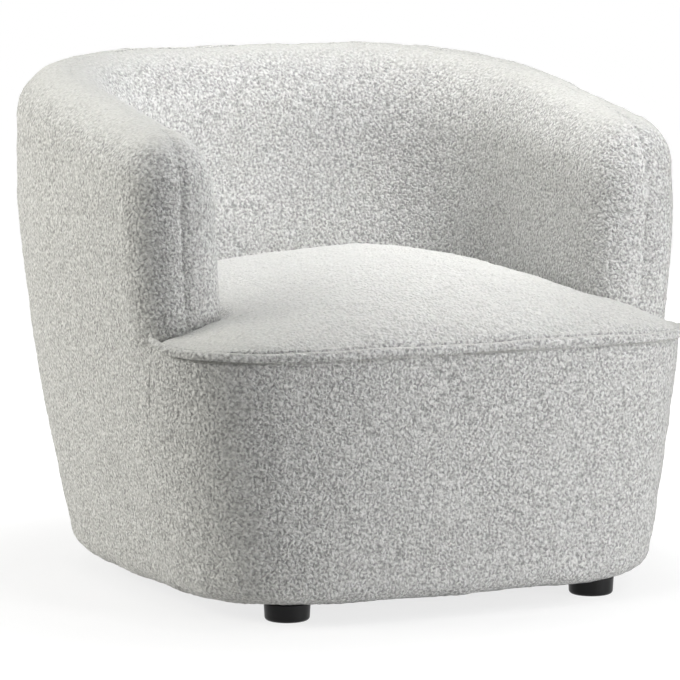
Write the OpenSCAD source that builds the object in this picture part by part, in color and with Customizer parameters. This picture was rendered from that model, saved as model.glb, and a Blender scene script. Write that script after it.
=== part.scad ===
// Tub chair with a U-shaped wrap-round wall, a tight crowned seat and four round feet.
// Millimetres, +Z up, front towards -Y, origin on the floor under the middle of the chair.

/* [Overall] */
// Width over the widest part of the sides
overall_w = 810; // [760:5:900]
// Depth from the front seam to the back
overall_d = 800; // [760:5:880]
// Height of the rim at the middle of the back
overall_h = 700; // [670:5:760]
// Height of the rim at the front of the arms
arm_h = 630; // [590:5:650]
// Height of the seam at the front edge of the seat
welt_z = 351; // [330:1:360]
// Height of the body's underside above the floor
base_z = 23; // [20:1:35]

/* [Body outline] */
// Squareness of the front corners
front_squareness_share = 4.6; // [3.6:0.1:5.2]
// Squareness of the back corners
back_squareness_share = 3.1; // [2.6:0.1:3.6]
// How far the sides draw in towards the base
side_taper = 64; // [40:1:75]
// How far the front draws in towards the base
front_taper = 13; // [5:1:20]
// How far the back draws in towards the base
back_taper = 92; // [60:1:100]
// How the drawing-in speeds up towards the base
taper_curve_share = 1.5; // [1.3:0.1:2]
// Radius of the body's bottom edge
base_round = 28; // [24:1:32]

/* [Wall] */
// Thickness of the arms and back at the rim
wall_t = 130; // [116:1:130]
// Extra thickness of the wall at seat level
wall_lean = 13; // [8:1:18]
// Radius of the rim on the outside
rim_out_r = 68; // [68:1:78]
// Distance from the middle of the chair to the arms' front faces
arm_reach = 250; // [245:1:275]
// How far the rounding of an arm's front reaches back
arm_cap = 64; // [55:1:66]
// How the rim's slope changes along the arm
rim_curve_share = 1.1; // [1:0.1:1.5]
// Squareness of an arm's front corners at seat level
cap_low_share = 3.2; // [3:0.1:5]
// Squareness of an arm's front corners at the rim
cap_high_share = 2; // [2:0.1:3]

/* [Seat] */
// Rise of the seat behind its front seam
seat_rise = 48; // [36:1:54]
// Crown of the seat above that
seat_crown = 46; // [30:1:52]
// Height of the seam's flange at the front edge
welt_h = 10; // [8:1:13]
// How far the flange stands proud of the front
welt_out = 4; // [3:1:6]

/* [Covers and padding] */
// Thickness of the looped cover fabric
fabric_t = 3; // [2:0.5:4]
// Thickness of the wadding under the cover
wadding_t = 10; // [6:1:12]
// Thickness of the foam on the inside of the wall
inner_foam_t = 45; // [38:1:50]
// Thickness of the foam behind the front cover
apron_foam_t = 22; // [16:1:26]
// Thickness of the board that lines the wall
panel_t = 3; // [2:0.5:4]
// Clearance between neighbouring layers
ply_gap = 0.3; // [0.2:0.1:0.5]

/* [Frame] */
// Thickness of the plywood rails
rail_t = 18; // [15:1:21]
// Width of the base rails
base_rail_w = 96; // [90:1:110]
// Height of the seat rails' upper face
seat_rail_z = 266; // [250:1:272]
// Width of the front seat rail
seat_rail_w = 62; // [54:1:70]
// Section of the posts between base and seat rails
post_w = 40; // [34:1:44]
// Thickness of the uprights inside the wall
upright_t = 24; // [20:1:26]
// Width of the uprights inside the wall
upright_w = 60; // [50:1:70]

/* [Springs] */
// Number of zigzag springs
spring_count = 5; // [4:1:6]
// Distance from the side of the springs' opening to the outermost spring
spring_side_in = 63; // [50:1:80]
// Diameter of the spring wire
spring_wire = 3.8; // [3.2:0.2:4.2]
// Width of a spring over its bends
spring_w = 46; // [42:1:50]
// Number of bars across each spring
spring_bars = 14; // [12:2:16]
// Diameter of the cross wires that tie the springs
tie_wire = 2.5; // [2:0.1:3]
// Thickness of the cloth over the springs
cloth_t = 1.2; // [1:0.1:2]

/* [Feet] */
// Diameter of a foot at its top
foot_d = 61; // [54:1:64]
// Diameter of a foot at the floor, before its edge radius
foot_low_d = 59; // [52:1:62]
// Radius of a foot's lower edge
foot_edge_r = 5; // [3:0.5:7]
// Distance of a front foot's middle from the side of the base
foot_side_in = 119; // [112:1:135]
// Distance of a front foot's middle from the front of the base
foot_front_in = 69; // [68:1:88]
// Distance of a rear foot's middle from the side of the base
foot_rear_side_in = 145; // [138:1:160]
// Distance of a rear foot's middle from the back of the base
foot_back_in = 90; // [84:1:104]
// Diameter of the bolts that hold the feet
bolt_d = 8; // [6:1:8]
// Diameter of a bolt's head
bolt_head_d = 15; // [13:0.5:16]
// Height of a bolt's head
bolt_head_h = 5; // [4:0.5:6]

/* [Hidden] */

// Shape constants without a range
fabric = [0.80, 0.80, 0.78];
foam_tint = [0.95, 0.90, 0.72];
wadding_tint = [0.96, 0.96, 0.96];
wood = [0.80, 0.66, 0.46];
ply = [0.86, 0.74, 0.55];
board_tint = [0.55, 0.40, 0.27];
steel = [0.62, 0.63, 0.65];
black = [0.06, 0.06, 0.065];
cloth_tint = [0.13, 0.13, 0.14];
// Steps round the wall, round an arm's front and round the front of the body
wall_steps = 30;
cap_steps = 8;
front_steps = 20;
// Wall steps from an arm's front to the seam in the back corner
corner_step = 9;
// Angles that round the rim outside and inside, and the body's bottom edge
out_turns = [0, 35, 62, 88];
in_turns = [0, 30, 60, 88];
edge_turns = [0, 30, 60, 90];
// Heights of the rows in the lower body
body_row_shares = [0.25, 0.5, 0.75, 1];
// Rings of the seat from its edge to its middle
seat_ring_shares = [1, 0.955, 0.87, 0.7, 0.42];
// How the seat's edge rounds over and how its crown falls away
seat_edge_share = 6;
seat_edge_fall_share = 0.6;
// How far the middle of the seat's rings lies in front of the arms
seat_mid_step = 24;
crown_fall_share = 2.5;
back_fall_share = 0.55;
// Size of the spring cloth against the seat's underside
cloth_share = 0.97;
// Vertical radius of the rim on the inside, and depth of the foam's skirt under it
rim_in_h = 100;
rim_skirt = 8;
wide_drop = 3;
// Level where the sides are widest, and the seat's edge against the arms
wide_z = arm_h - rim_in_h - rim_skirt - wide_drop;
shelf_z = welt_z + seat_rise;
// Front reach of the body, its side seams near the base and the step under an arm's front
front_reach = overall_d / 2 - welt_out + front_taper * draw_in(welt_z - welt_h / 2);
seam_low_reach = 216;
seam_curve_share = 4;
sill_h = 7;
cap_y = arm_reach - arm_cap;
rim_in_r = wall_t - rim_out_r;
ridge_y = overall_d / 2 - rim_out_r;
// Depths of the layers behind the outer, inner and front covers
pad_d = fabric_t + ply_gap;
outer_board_d = pad_d + wadding_t + ply_gap;
frame_d = outer_board_d + panel_t + ply_gap;
inner_board_d = pad_d + inner_foam_t + ply_gap;
inner_frame_d = inner_board_d + panel_t + ply_gap;
apron_board_d = pad_d + apron_foam_t + ply_gap;
apron_frame_d = apron_board_d + panel_t + ply_gap;
// Levels of the rails, the padding and the tucked covers
hem_play = 1;
base_rail_z = base_z + fabric_t + hem_play;
pad_z = base_z + base_round;
seat_rail_low_z = seat_rail_z - rail_t;
wall_z = seat_rail_z + ply_gap;
tuck_d = 24;
tuck_z = welt_z - tuck_d;
seat_pad_d = pad_d + wadding_t + ply_gap;
// Outline of the flange across its height
welt_proud_shares = [0.5, 1, 0.5];
// Springs lie on the seat rails over the opening
spring_z = wall_z + spring_wire / 2;
clip_w = 9;
clip_d = 10;
clip_h = 8;
clip_play = 0.15;
spring_land = 24;
back_land = 50;
side_post_y = 10;
// Wall steps at the middles of the uprights, from the right arm's front
upright_step_shares = [0.5, 4.5, 9.5, 13.5];
cloth_z = seat_rail_z + clip_h + 2 * ply_gap;
foam_z = cloth_z + cloth_t + ply_gap;
// Foot blocks, bolts, nuts and screws
block_z = base_rail_z + rail_t + ply_gap;
block_w = 48;
block_h = 26;
block_shift = 6;
bolt_play = 0.3;
nut_d = 11;
nut_flange_d = 22;
nut_flange_t = 1.5;
nut_h = 12;
recess_d = 20;
head_z = 5;
bolt_short = 4;
bolt_l = block_z + block_h - bolt_short - head_z - bolt_head_h;
screw_d = 4.5;
screw_head_d = 9;
screw_head_h = 4;
screw_l = 46;
screw_play = 0.1;
nut_bore_d = bolt_d + 2 * screw_play;
// Dust cover and the staples that hold it
dust_t = 1;
dust_z = base_z + ply_gap;
dust_in = 4;
staple_w = 12;
staple_t = 0.8;
staple_count = 28;
staple_in = 8;
// Clearance between layers whose facets differ
facet_play = 2.5;
// Pieces kept apart along a seam, and the reach of a cutting block
seam_step_share = 0.0008;
overrun = 1;
far = 2 * overall_w;
facets = 48;

// Places of the feet and of the posts: [x, y]
foot_x = overall_w / 2 - side_taper - foot_side_in;
foot_front_y = overall_d / 2 - front_taper - foot_front_in;
foot_rear_x = overall_w / 2 - side_taper - foot_rear_side_in;
foot_rear_y = overall_d / 2 - back_taper - foot_back_in;
foot_places = [
    [-foot_x, -foot_front_y], [foot_x, -foot_front_y],
    [-foot_rear_x, foot_rear_y], [foot_rear_x, foot_rear_y]
];
opening_x = inner_w(seat_rail_z, 0) - spring_land;
opening_back = inner_b(seat_rail_z, 0) - back_land;
opening_front = half_f(seat_rail_z, apron_frame_d) - seat_rail_w;
front_post_at = [opening_x + post_w / 2 + ply_gap, cap_y + post_w / 2 + spring_land / 2];
side_post_at = [opening_x + post_w / 2 + ply_gap, side_post_y];
rear_post_at = [foot_rear_x - block_w / 2 - post_w, opening_back + post_w / 2 + ply_gap];
post_places = [
    [-front_post_at.x, -front_post_at.y], [front_post_at.x, -front_post_at.y],
    [-side_post_at.x, -side_post_at.y], [side_post_at.x, -side_post_at.y],
    [-rear_post_at.x, rear_post_at.y], [rear_post_at.x, rear_post_at.y]
];

// The body narrows towards its base: 0 at the widest level, 1 at the underside
function draw_in(z) = z >= wide_z ? 0 : pow((wide_z - z) / (wide_z - base_z), taper_curve_share);
function half_w(z, o) = overall_w / 2 - side_taper * draw_in(z) - o;
function half_f(z, o) = front_reach - front_taper * draw_in(z) - o;
function half_b(z, o) = overall_d / 2 - back_taper * draw_in(z) - o;

// Inside of the wall at a depth o behind its cover
function lean_at(z) = wall_lean * max(0, (wide_z - z) / (wide_z - seat_rail_z));
function inner_w(z, o) = overall_w / 2 - wall_t - lean_at(z) + o;
function inner_b(z, o) = overall_d / 2 - wall_t - lean_at(z) + o;

// A squared ellipse: its radius at an angle, its width at a distance from the middle, its points
function radius(a, w, d, n) = pow(pow(abs(cos(a)) / w, n) + pow(abs(sin(a)) / d, n), -1 / n);
function width_at(y, w, f) =
    w * pow(1 - pow(abs(y) / f, front_squareness_share), 1 / front_squareness_share);
function start_angle(y, w, f) = atan2(-y, width_at(y, w, f));
function oval(a, w, f, b) =
    let (
        front = sin(a) < 0,
        r = radius(a, w, front ? f : b, front ? front_squareness_share : back_squareness_share)
    )
    [r * cos(a), r * sin(a)];

// Height of the rim over a point y of the plan
function rim_z(y) =
    let (share = min(1, max(0, (ridge_y - y) / (ridge_y + cap_y))))
    overall_h - (overall_h - arm_h) * pow(share, rim_curve_share);

// A point at share t round the wall, outside or inside, at height z and depth o
function outer_at(t, z, o) =
    let (w = half_w(z, o), f = half_f(z, 0), a = start_angle(cap_y, w, f))
    oval(a + t * (180 - 2 * a), w, f, half_b(z, o));
function inner_at(t, z, o) =
    let (w = inner_w(z, o), f = front_reach, a = start_angle(cap_y, w, f))
    oval(a + t * (180 - 2 * a), w, f, inner_b(z, o));

// A wall level is [LEVEL, z], [TURN, angle round the rim] or [SKIRT, drop below the foam's skirt]
LEVEL = 0;
SKIRT = 1;
TURN = 2;
function level_z(level, top, r, o) =
    level[0] == LEVEL ? level[1] :
    level[0] == SKIRT ? top - rim_in_h - rim_skirt - level[1] : top - r + (r - o) * sin(level[1]);
function level_o(level, r, o) = level[0] == TURN ? r - (r - o) * cos(level[1]) : o;

// Points of the wall's outer and inner faces on a level
function outer_point(t, level, o) =
    let (
        d = level_o(level, rim_out_r, o),
        z = level_z(level, rim_z(outer_at(t, wide_z, d).y), rim_out_r, o),
        p = outer_at(t, z, d)
    ) [p.x, p.y, z];
function inner_point(t, level, o) =
    let (
        d = level_o(level, rim_in_r, o),
        z = level_z(level, rim_z(inner_at(t, wide_z, d).y), rim_in_h, o),
        p = inner_at(t, z, d)
    ) [p.x, p.y, z];

// Points round an arm's front: angle 0 is outside, 90 at the front, 180 inside; side is 1 or -1
function cap_squareness(z) =
    let (share = min(1, max(0, (z - shelf_z) / (arm_h - shelf_z))))
    cap_low_share + (cap_high_share - cap_low_share) * share;
function power(v, e) = sign(v) * pow(abs(v), e);
function cap_point(side, angle, level, o) =
    let (
        rise = rim_out_r + (rim_in_h - rim_out_r) * angle / 180,
        z = level_z(level, arm_h, rise, o),
        x_out = width_at(cap_y, half_w(z, level_o(level, rim_out_r, o)), half_f(z, 0)),
        x_in = width_at(cap_y, inner_w(z, level_o(level, rim_in_r, o)), front_reach),
        reach = arm_cap - level_o(level, arm_cap, o),
        e = 2 / cap_squareness(z)
    ) [
        side * ((x_out + x_in) / 2 + (x_out - x_in) / 2 * power(cos(angle), e)),
        -cap_y - reach * power(sin(angle), e),
        z
    ];

// Points of the lower body, on its rounded bottom edge or at a height above it
function edge_z(turn, o) = base_z + base_round - (base_round - o) * cos(turn);
function edge_in(turn, o) = base_round - (base_round - o) * sin(turn);
function body_z(share) = base_z + base_round + share * (welt_z - sill_h - base_z - base_round);
function seam_reach(z) =
    seam_low_reach + (arm_reach - seam_low_reach) * pow(min(1, z / welt_z), seam_curve_share);
function apron_at(t, z, o, reach) =
    let (w = half_w(z, o), f = half_f(z, o), a = start_angle(reach, w, f))
    oval(180 - a + t * (180 + 2 * a), w, f, half_b(z, o));
function side_point(k, z, o) =
    let (y = -seam_reach(z) + (seam_reach(z) - cap_y) * 2 * k / cap_steps)
    [width_at(y, half_w(z, o), half_f(z, 0)), y, z];

// Closed solid between two grids of points; rows rise while columns run anticlockwise
module slab(front, back) {
    rows = len(front);
    cols = len(front[0]);
    n = rows * cols;
    points = concat([for (row = front) each row], [for (row = back) each row]);
    faces = concat(
        [for (r = [0 : rows - 2], c = [0 : cols - 2])
            let (i = r * cols + c) each [[i, i + cols, i + cols + 1], [i, i + cols + 1, i + 1]]],
        [for (r = [0 : rows - 2], c = [0 : cols - 2])
            let (i = n + r * cols + c) each [[i, i + cols + 1, i + cols], [i, i + 1, i + cols + 1]]],
        [for (c = [0 : cols - 2]) each [[c, c + 1, n + c + 1], [c, n + c + 1, n + c]]],
        [for (c = [0 : cols - 2])
            let (i = n - cols + c) each [[i + 1, i, n + i], [i + 1, n + i, n + i + 1]]],
        [for (r = [0 : rows - 2])
            let (i = r * cols) each [[i + cols, i, n + i], [i + cols, n + i, n + i + cols]]],
        [for (r = [0 : rows - 2])
            let (i = r * cols + cols - 1) each [[i, i + cols, n + i + cols], [i, n + i + cols, n + i]]]
    );
    polyhedron(points, faces);
}

// Closed solid of flat loops stacked upwards; each loop runs anticlockwise
module stack(loops) {
    n = len(loops[0]);
    last = (len(loops) - 1) * n;
    faces = concat(
        [[for (i = [0 : n - 1]) i]],
        [for (r = [0 : len(loops) - 2], i = [0 : n - 1])
            let (a = r * n + i, b = r * n + (i + 1) % n) each [[a, a + n, b + n], [a, b + n, b]]],
        [[for (i = [n - 1 : -1 : 0]) last + i]]
    );
    polyhedron([for (loop = loops) each loop], faces);
}

// Closed solid between a crowned top and a base that share one middle; rings run anticlockwise inwards
module crown_solid(top_rings, top_mid, low_rings, low_mid) {
    rings = len(top_rings);
    n = len(top_rings[0]);
    low = rings * n + 1;
    low_count = len(low_rings);
    low_end = low + low_count * n;
    inner = (rings - 1) * n;
    low_inner = low + (low_count - 1) * n;
    points = concat(
        [for (ring = top_rings) each ring], [top_mid],
        [for (ring = low_rings) each ring], [low_mid]
    );
    faces = concat(
        [for (r = [0 : 1 : rings - 2], i = [0 : n - 1])
            let (a = r * n + i, b = r * n + (i + 1) % n) each [[a, a + n, b + n], [a, b + n, b]]],
        [for (i = [0 : n - 1]) [inner + i, rings * n, inner + (i + 1) % n]],
        [for (r = [0 : 1 : low_count - 2], i = [0 : n - 1])
            let (a = low + r * n + i, b = low + r * n + (i + 1) % n)
            each [[a, b + n, a + n], [a, b, b + n]]],
        [for (i = [0 : n - 1]) [low_inner + i, low_inner + (i + 1) % n, low_end]],
        [for (i = [0 : n - 1])
            let (j = (i + 1) % n) each [[i, j, low + j], [i, low + j, low + i]]]
    );
    polyhedron(points, faces);
}

// Shares along the wall between two steps, kept clear of the next piece at each end
function seam_shift(i, first, last) =
    i == first && i > 0 ? seam_step_share : i == last && i < wall_steps ? -seam_step_share : 0;
function steps(first, last) = [for (i = [first : last]) i / wall_steps + seam_shift(i, first, last)];
function cap_angles(first, last) = [for (i = [first : last]) 180 * i / cap_steps];

// Levels that the outer layers and the inner layers share with their covers
outer_levels = [[LEVEL, welt_z], [LEVEL, shelf_z], [LEVEL, wide_z]];
inner_levels = [[LEVEL, shelf_z], [LEVEL, wide_z]];
body_zs = [for (share = body_row_shares) body_z(share)];
pad_levels = concat([for (z = concat([pad_z], body_zs)) [LEVEL, z]], outer_levels);

// Rows of a layer on the outside of the wall, from the padding's foot to a level under the rim
function outer_layer(o) = [for (level = concat(pad_levels, [[SKIRT, ply_gap]]))
    [for (t = steps(0, wall_steps)) outer_point(t, level, o)]];
// Rows of a layer on the inside of the wall between two wall steps
inner_layer_levels = concat([[LEVEL, wall_z]], inner_levels, [[SKIRT, ply_gap]]);
function inner_layer(o, first, last) = [for (level = inner_layer_levels)
    [for (t = reverse(steps(first, last))) inner_point(t, level, o)]];
function reverse(list) = [for (i = [len(list) - 1 : -1 : 0]) list[i]];

// Outline of the body in plan at one height, with its own depths along the wall and along the front
function outline(z, wall_o, front_o) = concat(
    [for (t = steps(0, wall_steps)) outer_at(t, z, wall_o)],
    [for (i = [0 : front_steps]) apron_at(i / front_steps, z, front_o, max(seam_reach(z), cap_y + ply_gap))]
);

// Base rails: plywood ring in four butt-jointed lengths
base_in = base_round - fabric_t + ply_gap;
base_f = half_f(base_z, base_in) - base_rail_w;
base_b = half_b(base_z, base_in) - base_rail_w;
module base_plate() {
    translate([0, 0, base_rail_z])
        linear_extrude(rail_t)
            polygon(outline(base_z, base_in, base_in));
}
module rail_block(x0, x1, y0, y1) {
    translate([x0, y0, 0])
        cube([x1 - x0, y1 - y0, overall_h]);
}
screw_bore_d = screw_d + 2 * screw_play;
screw_sink_d = screw_head_d + 2 * screw_play;
module screw_hole_up(place) {
    translate([place.x, place.y, base_rail_z - overrun])
        cylinder(h = screw_l + overrun, d = screw_bore_d, $fn = facets);
    translate([place.x, place.y, base_rail_z - ply_gap])
        cylinder(h = screw_head_h + ply_gap, d1 = screw_sink_d, d2 = screw_bore_d, $fn = facets);
}
module screw_hole_down(place) {
    translate([place.x, place.y, seat_rail_z - screw_l])
        cylinder(h = screw_l + overrun, d = screw_bore_d, $fn = facets);
    translate([place.x, place.y, seat_rail_z - screw_head_h])
        cylinder(h = screw_head_h + ply_gap, d1 = screw_bore_d, d2 = screw_sink_d, $fn = facets);
}
module base_holes() {
    for (place = foot_places)
        translate([place.x, place.y, 0])
            cylinder(h = overall_h, d = bolt_d + 2 * bolt_play, $fn = facets);
    for (place = post_places)
        screw_hole_up(place);
}
module base_rail(x0, x1, y0, y1) {
    color(ply)
        difference() {
            intersection() {
                base_plate();
                rail_block(x0, x1, y0, y1);
            }
            base_holes();
        }
}
module base_rail_front() { base_rail(-far, far, -far, -base_f); }
module base_rail_back() { base_rail(-far, far, base_b, far); }
base_side_x = half_w(base_z, base_in) - base_rail_w;
module base_rail_left() { base_rail(-far, -base_side_x, -base_f + ply_gap, base_b - ply_gap); }
module base_rail_right() { base_rail(base_side_x, far, -base_f + ply_gap, base_b - ply_gap); }

// Seat rails: plywood ring that carries the springs and the wall
module seat_plate() {
    translate([0, 0, seat_rail_low_z])
        linear_extrude(rail_t)
            polygon(outline(seat_rail_low_z, frame_d, apron_frame_d + ply_gap));
}
module seat_rail(x0, x1, y0, y1) {
    color(ply)
        difference() {
            intersection() {
                seat_plate();
                rail_block(x0, x1, y0, y1);
            }
            for (place = post_places)
                screw_hole_down(place);
        }
}
module seat_rail_front() {
    color(ply)
        difference() {
            intersection() {
                seat_plate();
                rail_block(-far, far, -far, -cap_y - ply_gap);
            }
            translate([0, 0, seat_rail_low_z - overrun])
                rail_block(-opening_x, opening_x, -opening_front, 0);
            for (place = post_places)
                screw_hole_down(place);
        }
}
module seat_rail_back() { seat_rail(-far, far, opening_back, far); }
module seat_rail_left() { seat_rail(-far, -opening_x, -cap_y, opening_back - ply_gap); }
module seat_rail_right() { seat_rail(opening_x, far, -cap_y, opening_back - ply_gap); }

// Posts between the base rails and the seat rails
module post(place) {
    h = seat_rail_low_z - block_z - ply_gap;
    color(wood)
        difference() {
            translate([place.x - post_w / 2, place.y - post_w / 2, block_z])
                cube([post_w, post_w, h]);
            screw_hole_up(place);
            screw_hole_down(place);
        }
}
module front_post_left() { post(post_places[0]); }
module front_post_right() { post(post_places[1]); }
module side_post_left() { post(post_places[2]); }
module side_post_right() { post(post_places[3]); }
module rear_post_left() { post(post_places[4]); }
module rear_post_right() { post(post_places[5]); }

// Uprights inside the wall: each leans with the inner board and ends under the top rail
module upright(t) {
    levels = [[LEVEL, wall_z], [LEVEL, wide_z - rail_t - wide_drop], [SKIRT, rail_t + 2 * ply_gap]];
    ts = [t + upright_share, t - upright_share];
    color(wood)
        slab(
            [for (level = levels) [for (s = ts) inner_point(s, level, inner_frame_d)]],
            [for (level = levels) [for (s = ts) inner_point(s, level, inner_frame_d + upright_t)]]
        );
}
upright_share = upright_w / (2 * (overall_w + 2 * overall_d));
module arm_upright_left() { upright(1 - upright_step_shares[0] / wall_steps); }
module arm_upright_right() { upright(upright_step_shares[0] / wall_steps); }
module mid_upright_left() { upright(1 - upright_step_shares[1] / wall_steps); }
module mid_upright_right() { upright(upright_step_shares[1] / wall_steps); }
module corner_upright_left() { upright(1 - upright_step_shares[2] / wall_steps); }
module corner_upright_right() { upright(upright_step_shares[2] / wall_steps); }
module back_upright_left() { upright(1 - upright_step_shares[3] / wall_steps); }
module back_upright_right() { upright(upright_step_shares[3] / wall_steps); }

// Top rail: sloping plywood band on the uprights
module top_rail() {
    ts = steps(0, wall_steps);
    color(ply)
        slab(
            [[for (t = ts) outer_point(t, [SKIRT, ply_gap], frame_d)],
             [for (t = ts) inner_point(t, [SKIRT, ply_gap], inner_frame_d)]],
            [[for (t = ts) outer_point(t, [SKIRT, ply_gap + rail_t], frame_d)],
             [for (t = ts) inner_point(t, [SKIRT, ply_gap + rail_t], inner_frame_d)]]
        );
}

// Hardwood blocks that take the feet's bolts
function block_place(p) = [p.x - sign(p.x) * block_shift, p.y - sign(p.y) * block_shift];
module foot_blocks() {
    color(wood)
        for (place = foot_places)
            difference() {
                translate([block_place(place).x - block_w / 2, block_place(place).y - block_w / 2, block_z])
                    cube([block_w, block_w, block_h]);
                translate([place.x, place.y, 0])
                    cylinder(h = overall_h, d = bolt_d + 2 * bolt_play, $fn = facets);
                translate([place.x, place.y, block_z + block_h - nut_h])
                    cylinder(h = nut_h + overrun, d = nut_d + 2 * screw_play, $fn = facets);
            }
}

// Countersunk screws through the rails into the posts
module frame_screws() {
    color(steel)
        for (place = post_places) {
            translate([place.x, place.y, base_rail_z]) {
                cylinder(h = screw_l - screw_play, d = screw_d, $fn = facets);
                cylinder(h = screw_head_h, d1 = screw_head_d, d2 = screw_d, $fn = facets);
            }
            translate([place.x, place.y, seat_rail_z]) {
                translate([0, 0, -screw_l + screw_play])
                    cylinder(h = screw_l - screw_play, d = screw_d, $fn = facets);
                translate([0, 0, -screw_head_h])
                    cylinder(h = screw_head_h, d1 = screw_d, d2 = screw_head_d, $fn = facets);
            }
        }
}

// Thin boards that line the wall and the front
module inner_panel() {
    color(board_tint)
        slab(
            inner_layer(inner_board_d, 0, wall_steps),
            inner_layer(inner_board_d + panel_t, 0, wall_steps)
        );
}
module outer_panel() {
    color(board_tint)
        slab(outer_layer(outer_board_d), outer_layer(outer_board_d + panel_t));
}
function apron_point(i, z, o) =
    let (p = apron_at(i / front_steps, z, o, seam_reach(z) + ply_gap)) [p.x, p.y, z];
function apron_layer(o, zs) = [for (z = zs) [for (i = [0 : front_steps]) apron_point(i, z, o)]];
module apron_panel() {
    panel_zs = [pad_z, body_zs[0], body_zs[1], seat_rail_z];
    color(board_tint)
        slab(apron_layer(apron_board_d, panel_zs), apron_layer(apron_board_d + panel_t, panel_zs));
}

// Closed tube swept along a level path
module tube(path, d, sides) {
    last = len(path) - 1;
    points = [for (i = [0 : last])
        let (
            run = path[min(i + 1, last)] - path[max(i - 1, 0)],
            across = [run.y, -run.x, 0] / norm(run)
        )
        for (k = [0 : sides - 1])
            path[i] + d / 2 * (cos(360 * k / sides) * across + [0, 0, sin(360 * k / sides)])];
    faces = concat(
        [[for (k = [0 : sides - 1]) k]],
        [for (i = [0 : last - 1], k = [0 : sides - 1])
            let (a = i * sides + k, b = i * sides + (k + 1) % sides)
            each [[a, a + sides, b + sides], [a, b + sides, b]]],
        [[for (k = [sides - 1 : -1 : 0]) last * sides + k]]
    );
    polyhedron(points, faces);
}

// Zigzag springs: level bars joined by bends, clipped to the seat rails at both ends
spring_front = opening_front + spring_land / 2;
spring_back = opening_back + spring_land / 2;
bar_pitch = (spring_front + spring_back) / (spring_bars - 1);
bend_x = (spring_w - spring_wire) / 2;
bar_x = clip_w / 2 + spring_wire;
spring_sides = 6;
function spring_path(x) = [for (i = [0 : spring_bars - 1])
    let (side = i % 2 == 0 ? 1 : -1, y = -spring_front + i * bar_pitch)
    for (p = concat([[-bar_x, 0], [bar_x, 0]], i < spring_bars - 1 ? [[bend_x, bar_pitch / 2]] : []))
        [x + side * p.x, y + p.y, spring_z]];
spring_pitch = (2 * (opening_x - spring_side_in) - spring_w) / (spring_count - 1);
spring_xs = [for (i = [0 : spring_count - 1]) (i - (spring_count - 1) / 2) * spring_pitch];
module seat_springs() {
    color(steel)
        for (x = spring_xs)
            tube(spring_path(x), spring_wire, spring_sides);
}
module spring_clips() {
    color(steel)
        for (x = spring_xs, y = [-spring_front, spring_back])
            difference() {
                translate([x - clip_w / 2, y - clip_d / 2, seat_rail_z])
                    cube([clip_w, clip_d, clip_h]);
                translate([x - clip_w, y, spring_z])
                    rotate([0, 90, 0])
                        cylinder(h = 2 * clip_w, d = spring_wire + 2 * clip_play, $fn = facets);
            }
}
tie_count = 2;
tie_ys = [for (i = [1 : tie_count])
    -spring_front + (round(i * spring_bars / (tie_count + 1)) + 0.5) * bar_pitch];
tie_l = (spring_count - 1) * spring_pitch + spring_w;
module spring_ties() {
    color(steel)
        for (y = tie_ys)
            translate([spring_xs[0] - spring_w / 2, y, spring_z - spring_wire / 2 - ply_gap - tie_wire / 2])
                rotate([0, 90, 0])
                    cylinder(h = tie_l, d = tie_wire, $fn = facets);
}

// Outline of the seat between the wall and the front, one ring from the left side seam
function seat_edge(z, front_o) = concat(
    [for (i = [0 : front_steps]) apron_at(i / front_steps, min(z, welt_z), front_o, arm_reach + ply_gap)],
    [for (angle = cap_angles(cap_steps / 2, cap_steps - 1))
        let (p = cap_point(1, angle, [LEVEL, z], -ply_gap)) [p.x, p.y]],
    [for (t = steps(0, wall_steps)) inner_at(t, z, -ply_gap)],
    [for (angle = reverse(cap_angles(cap_steps / 2, cap_steps - 1)))
        let (p = cap_point(-1, angle, [LEVEL, z], -ply_gap)) [p.x, p.y]]
);
seat_mid = [0, -arm_reach - seat_mid_step];
function plan_share(x, y) = min(1, y < 0
    ? pow(pow(abs(x) / half_w(welt_z, 0), front_squareness_share)
        + pow(abs(y) / half_f(welt_z, 0), front_squareness_share), 1 / front_squareness_share)
    : abs(x) / half_w(welt_z, 0));
function seat_top(x, y) =
    let (
        share = plan_share(x, y),
        across = max(0, 1 - pow(abs(x) / inner_w(welt_z, 0), 2)),
        fall = y > 0 ? 1 - back_fall_share * pow(y / inner_b(welt_z, 0), 2) : 1,
        crown = seat_crown * across * (1 - pow(share, crown_fall_share)) * fall
    ) welt_z + seat_rise * pow(1 - pow(share, seat_edge_share), seat_edge_fall_share) + crown;
function toward_mid(p, share) = seat_mid + ([p.x, p.y] - seat_mid) * share;
function seat_rings(front_o, drop, low) = [for (share = seat_ring_shares)
    [for (p = seat_edge(shelf_z - low, front_o))
        let (q = toward_mid(p, share)) [q.x, q.y, seat_top(q.x, q.y) - drop]]];
function seat_mid_at(drop) = [seat_mid.x, seat_mid.y, seat_top(seat_mid.x, seat_mid.y) - drop];
module seat_foam() {
    front_o = apron_board_d + facet_play;
    color(foam_tint)
        crown_solid(
            seat_rings(front_o, seat_pad_d, seat_pad_d), seat_mid_at(seat_pad_d),
            [[for (p = seat_edge(foam_z, front_o)) [p.x, p.y, foam_z]]], [seat_mid.x, seat_mid.y, foam_z]
        );
}
module seat_layer(o, t) {
    crown_solid(seat_rings(o, o, o + t), seat_mid_at(o), seat_rings(o, o + t, o + t), seat_mid_at(o + t));
}
module seat_wadding() {
    color(wadding_tint)
        seat_layer(pad_d, wadding_t);
}
module seat_cover() {
    color(fabric)
        seat_layer(0, fabric_t);
}
module spring_cloth() {
    edge = seat_edge(wall_z, apron_frame_d + spring_land);
    color(cloth_tint)
        translate([0, 0, cloth_z])
            linear_extrude(cloth_t)
                polygon([for (p = edge) toward_mid(p, cloth_share)]);
}

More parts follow.
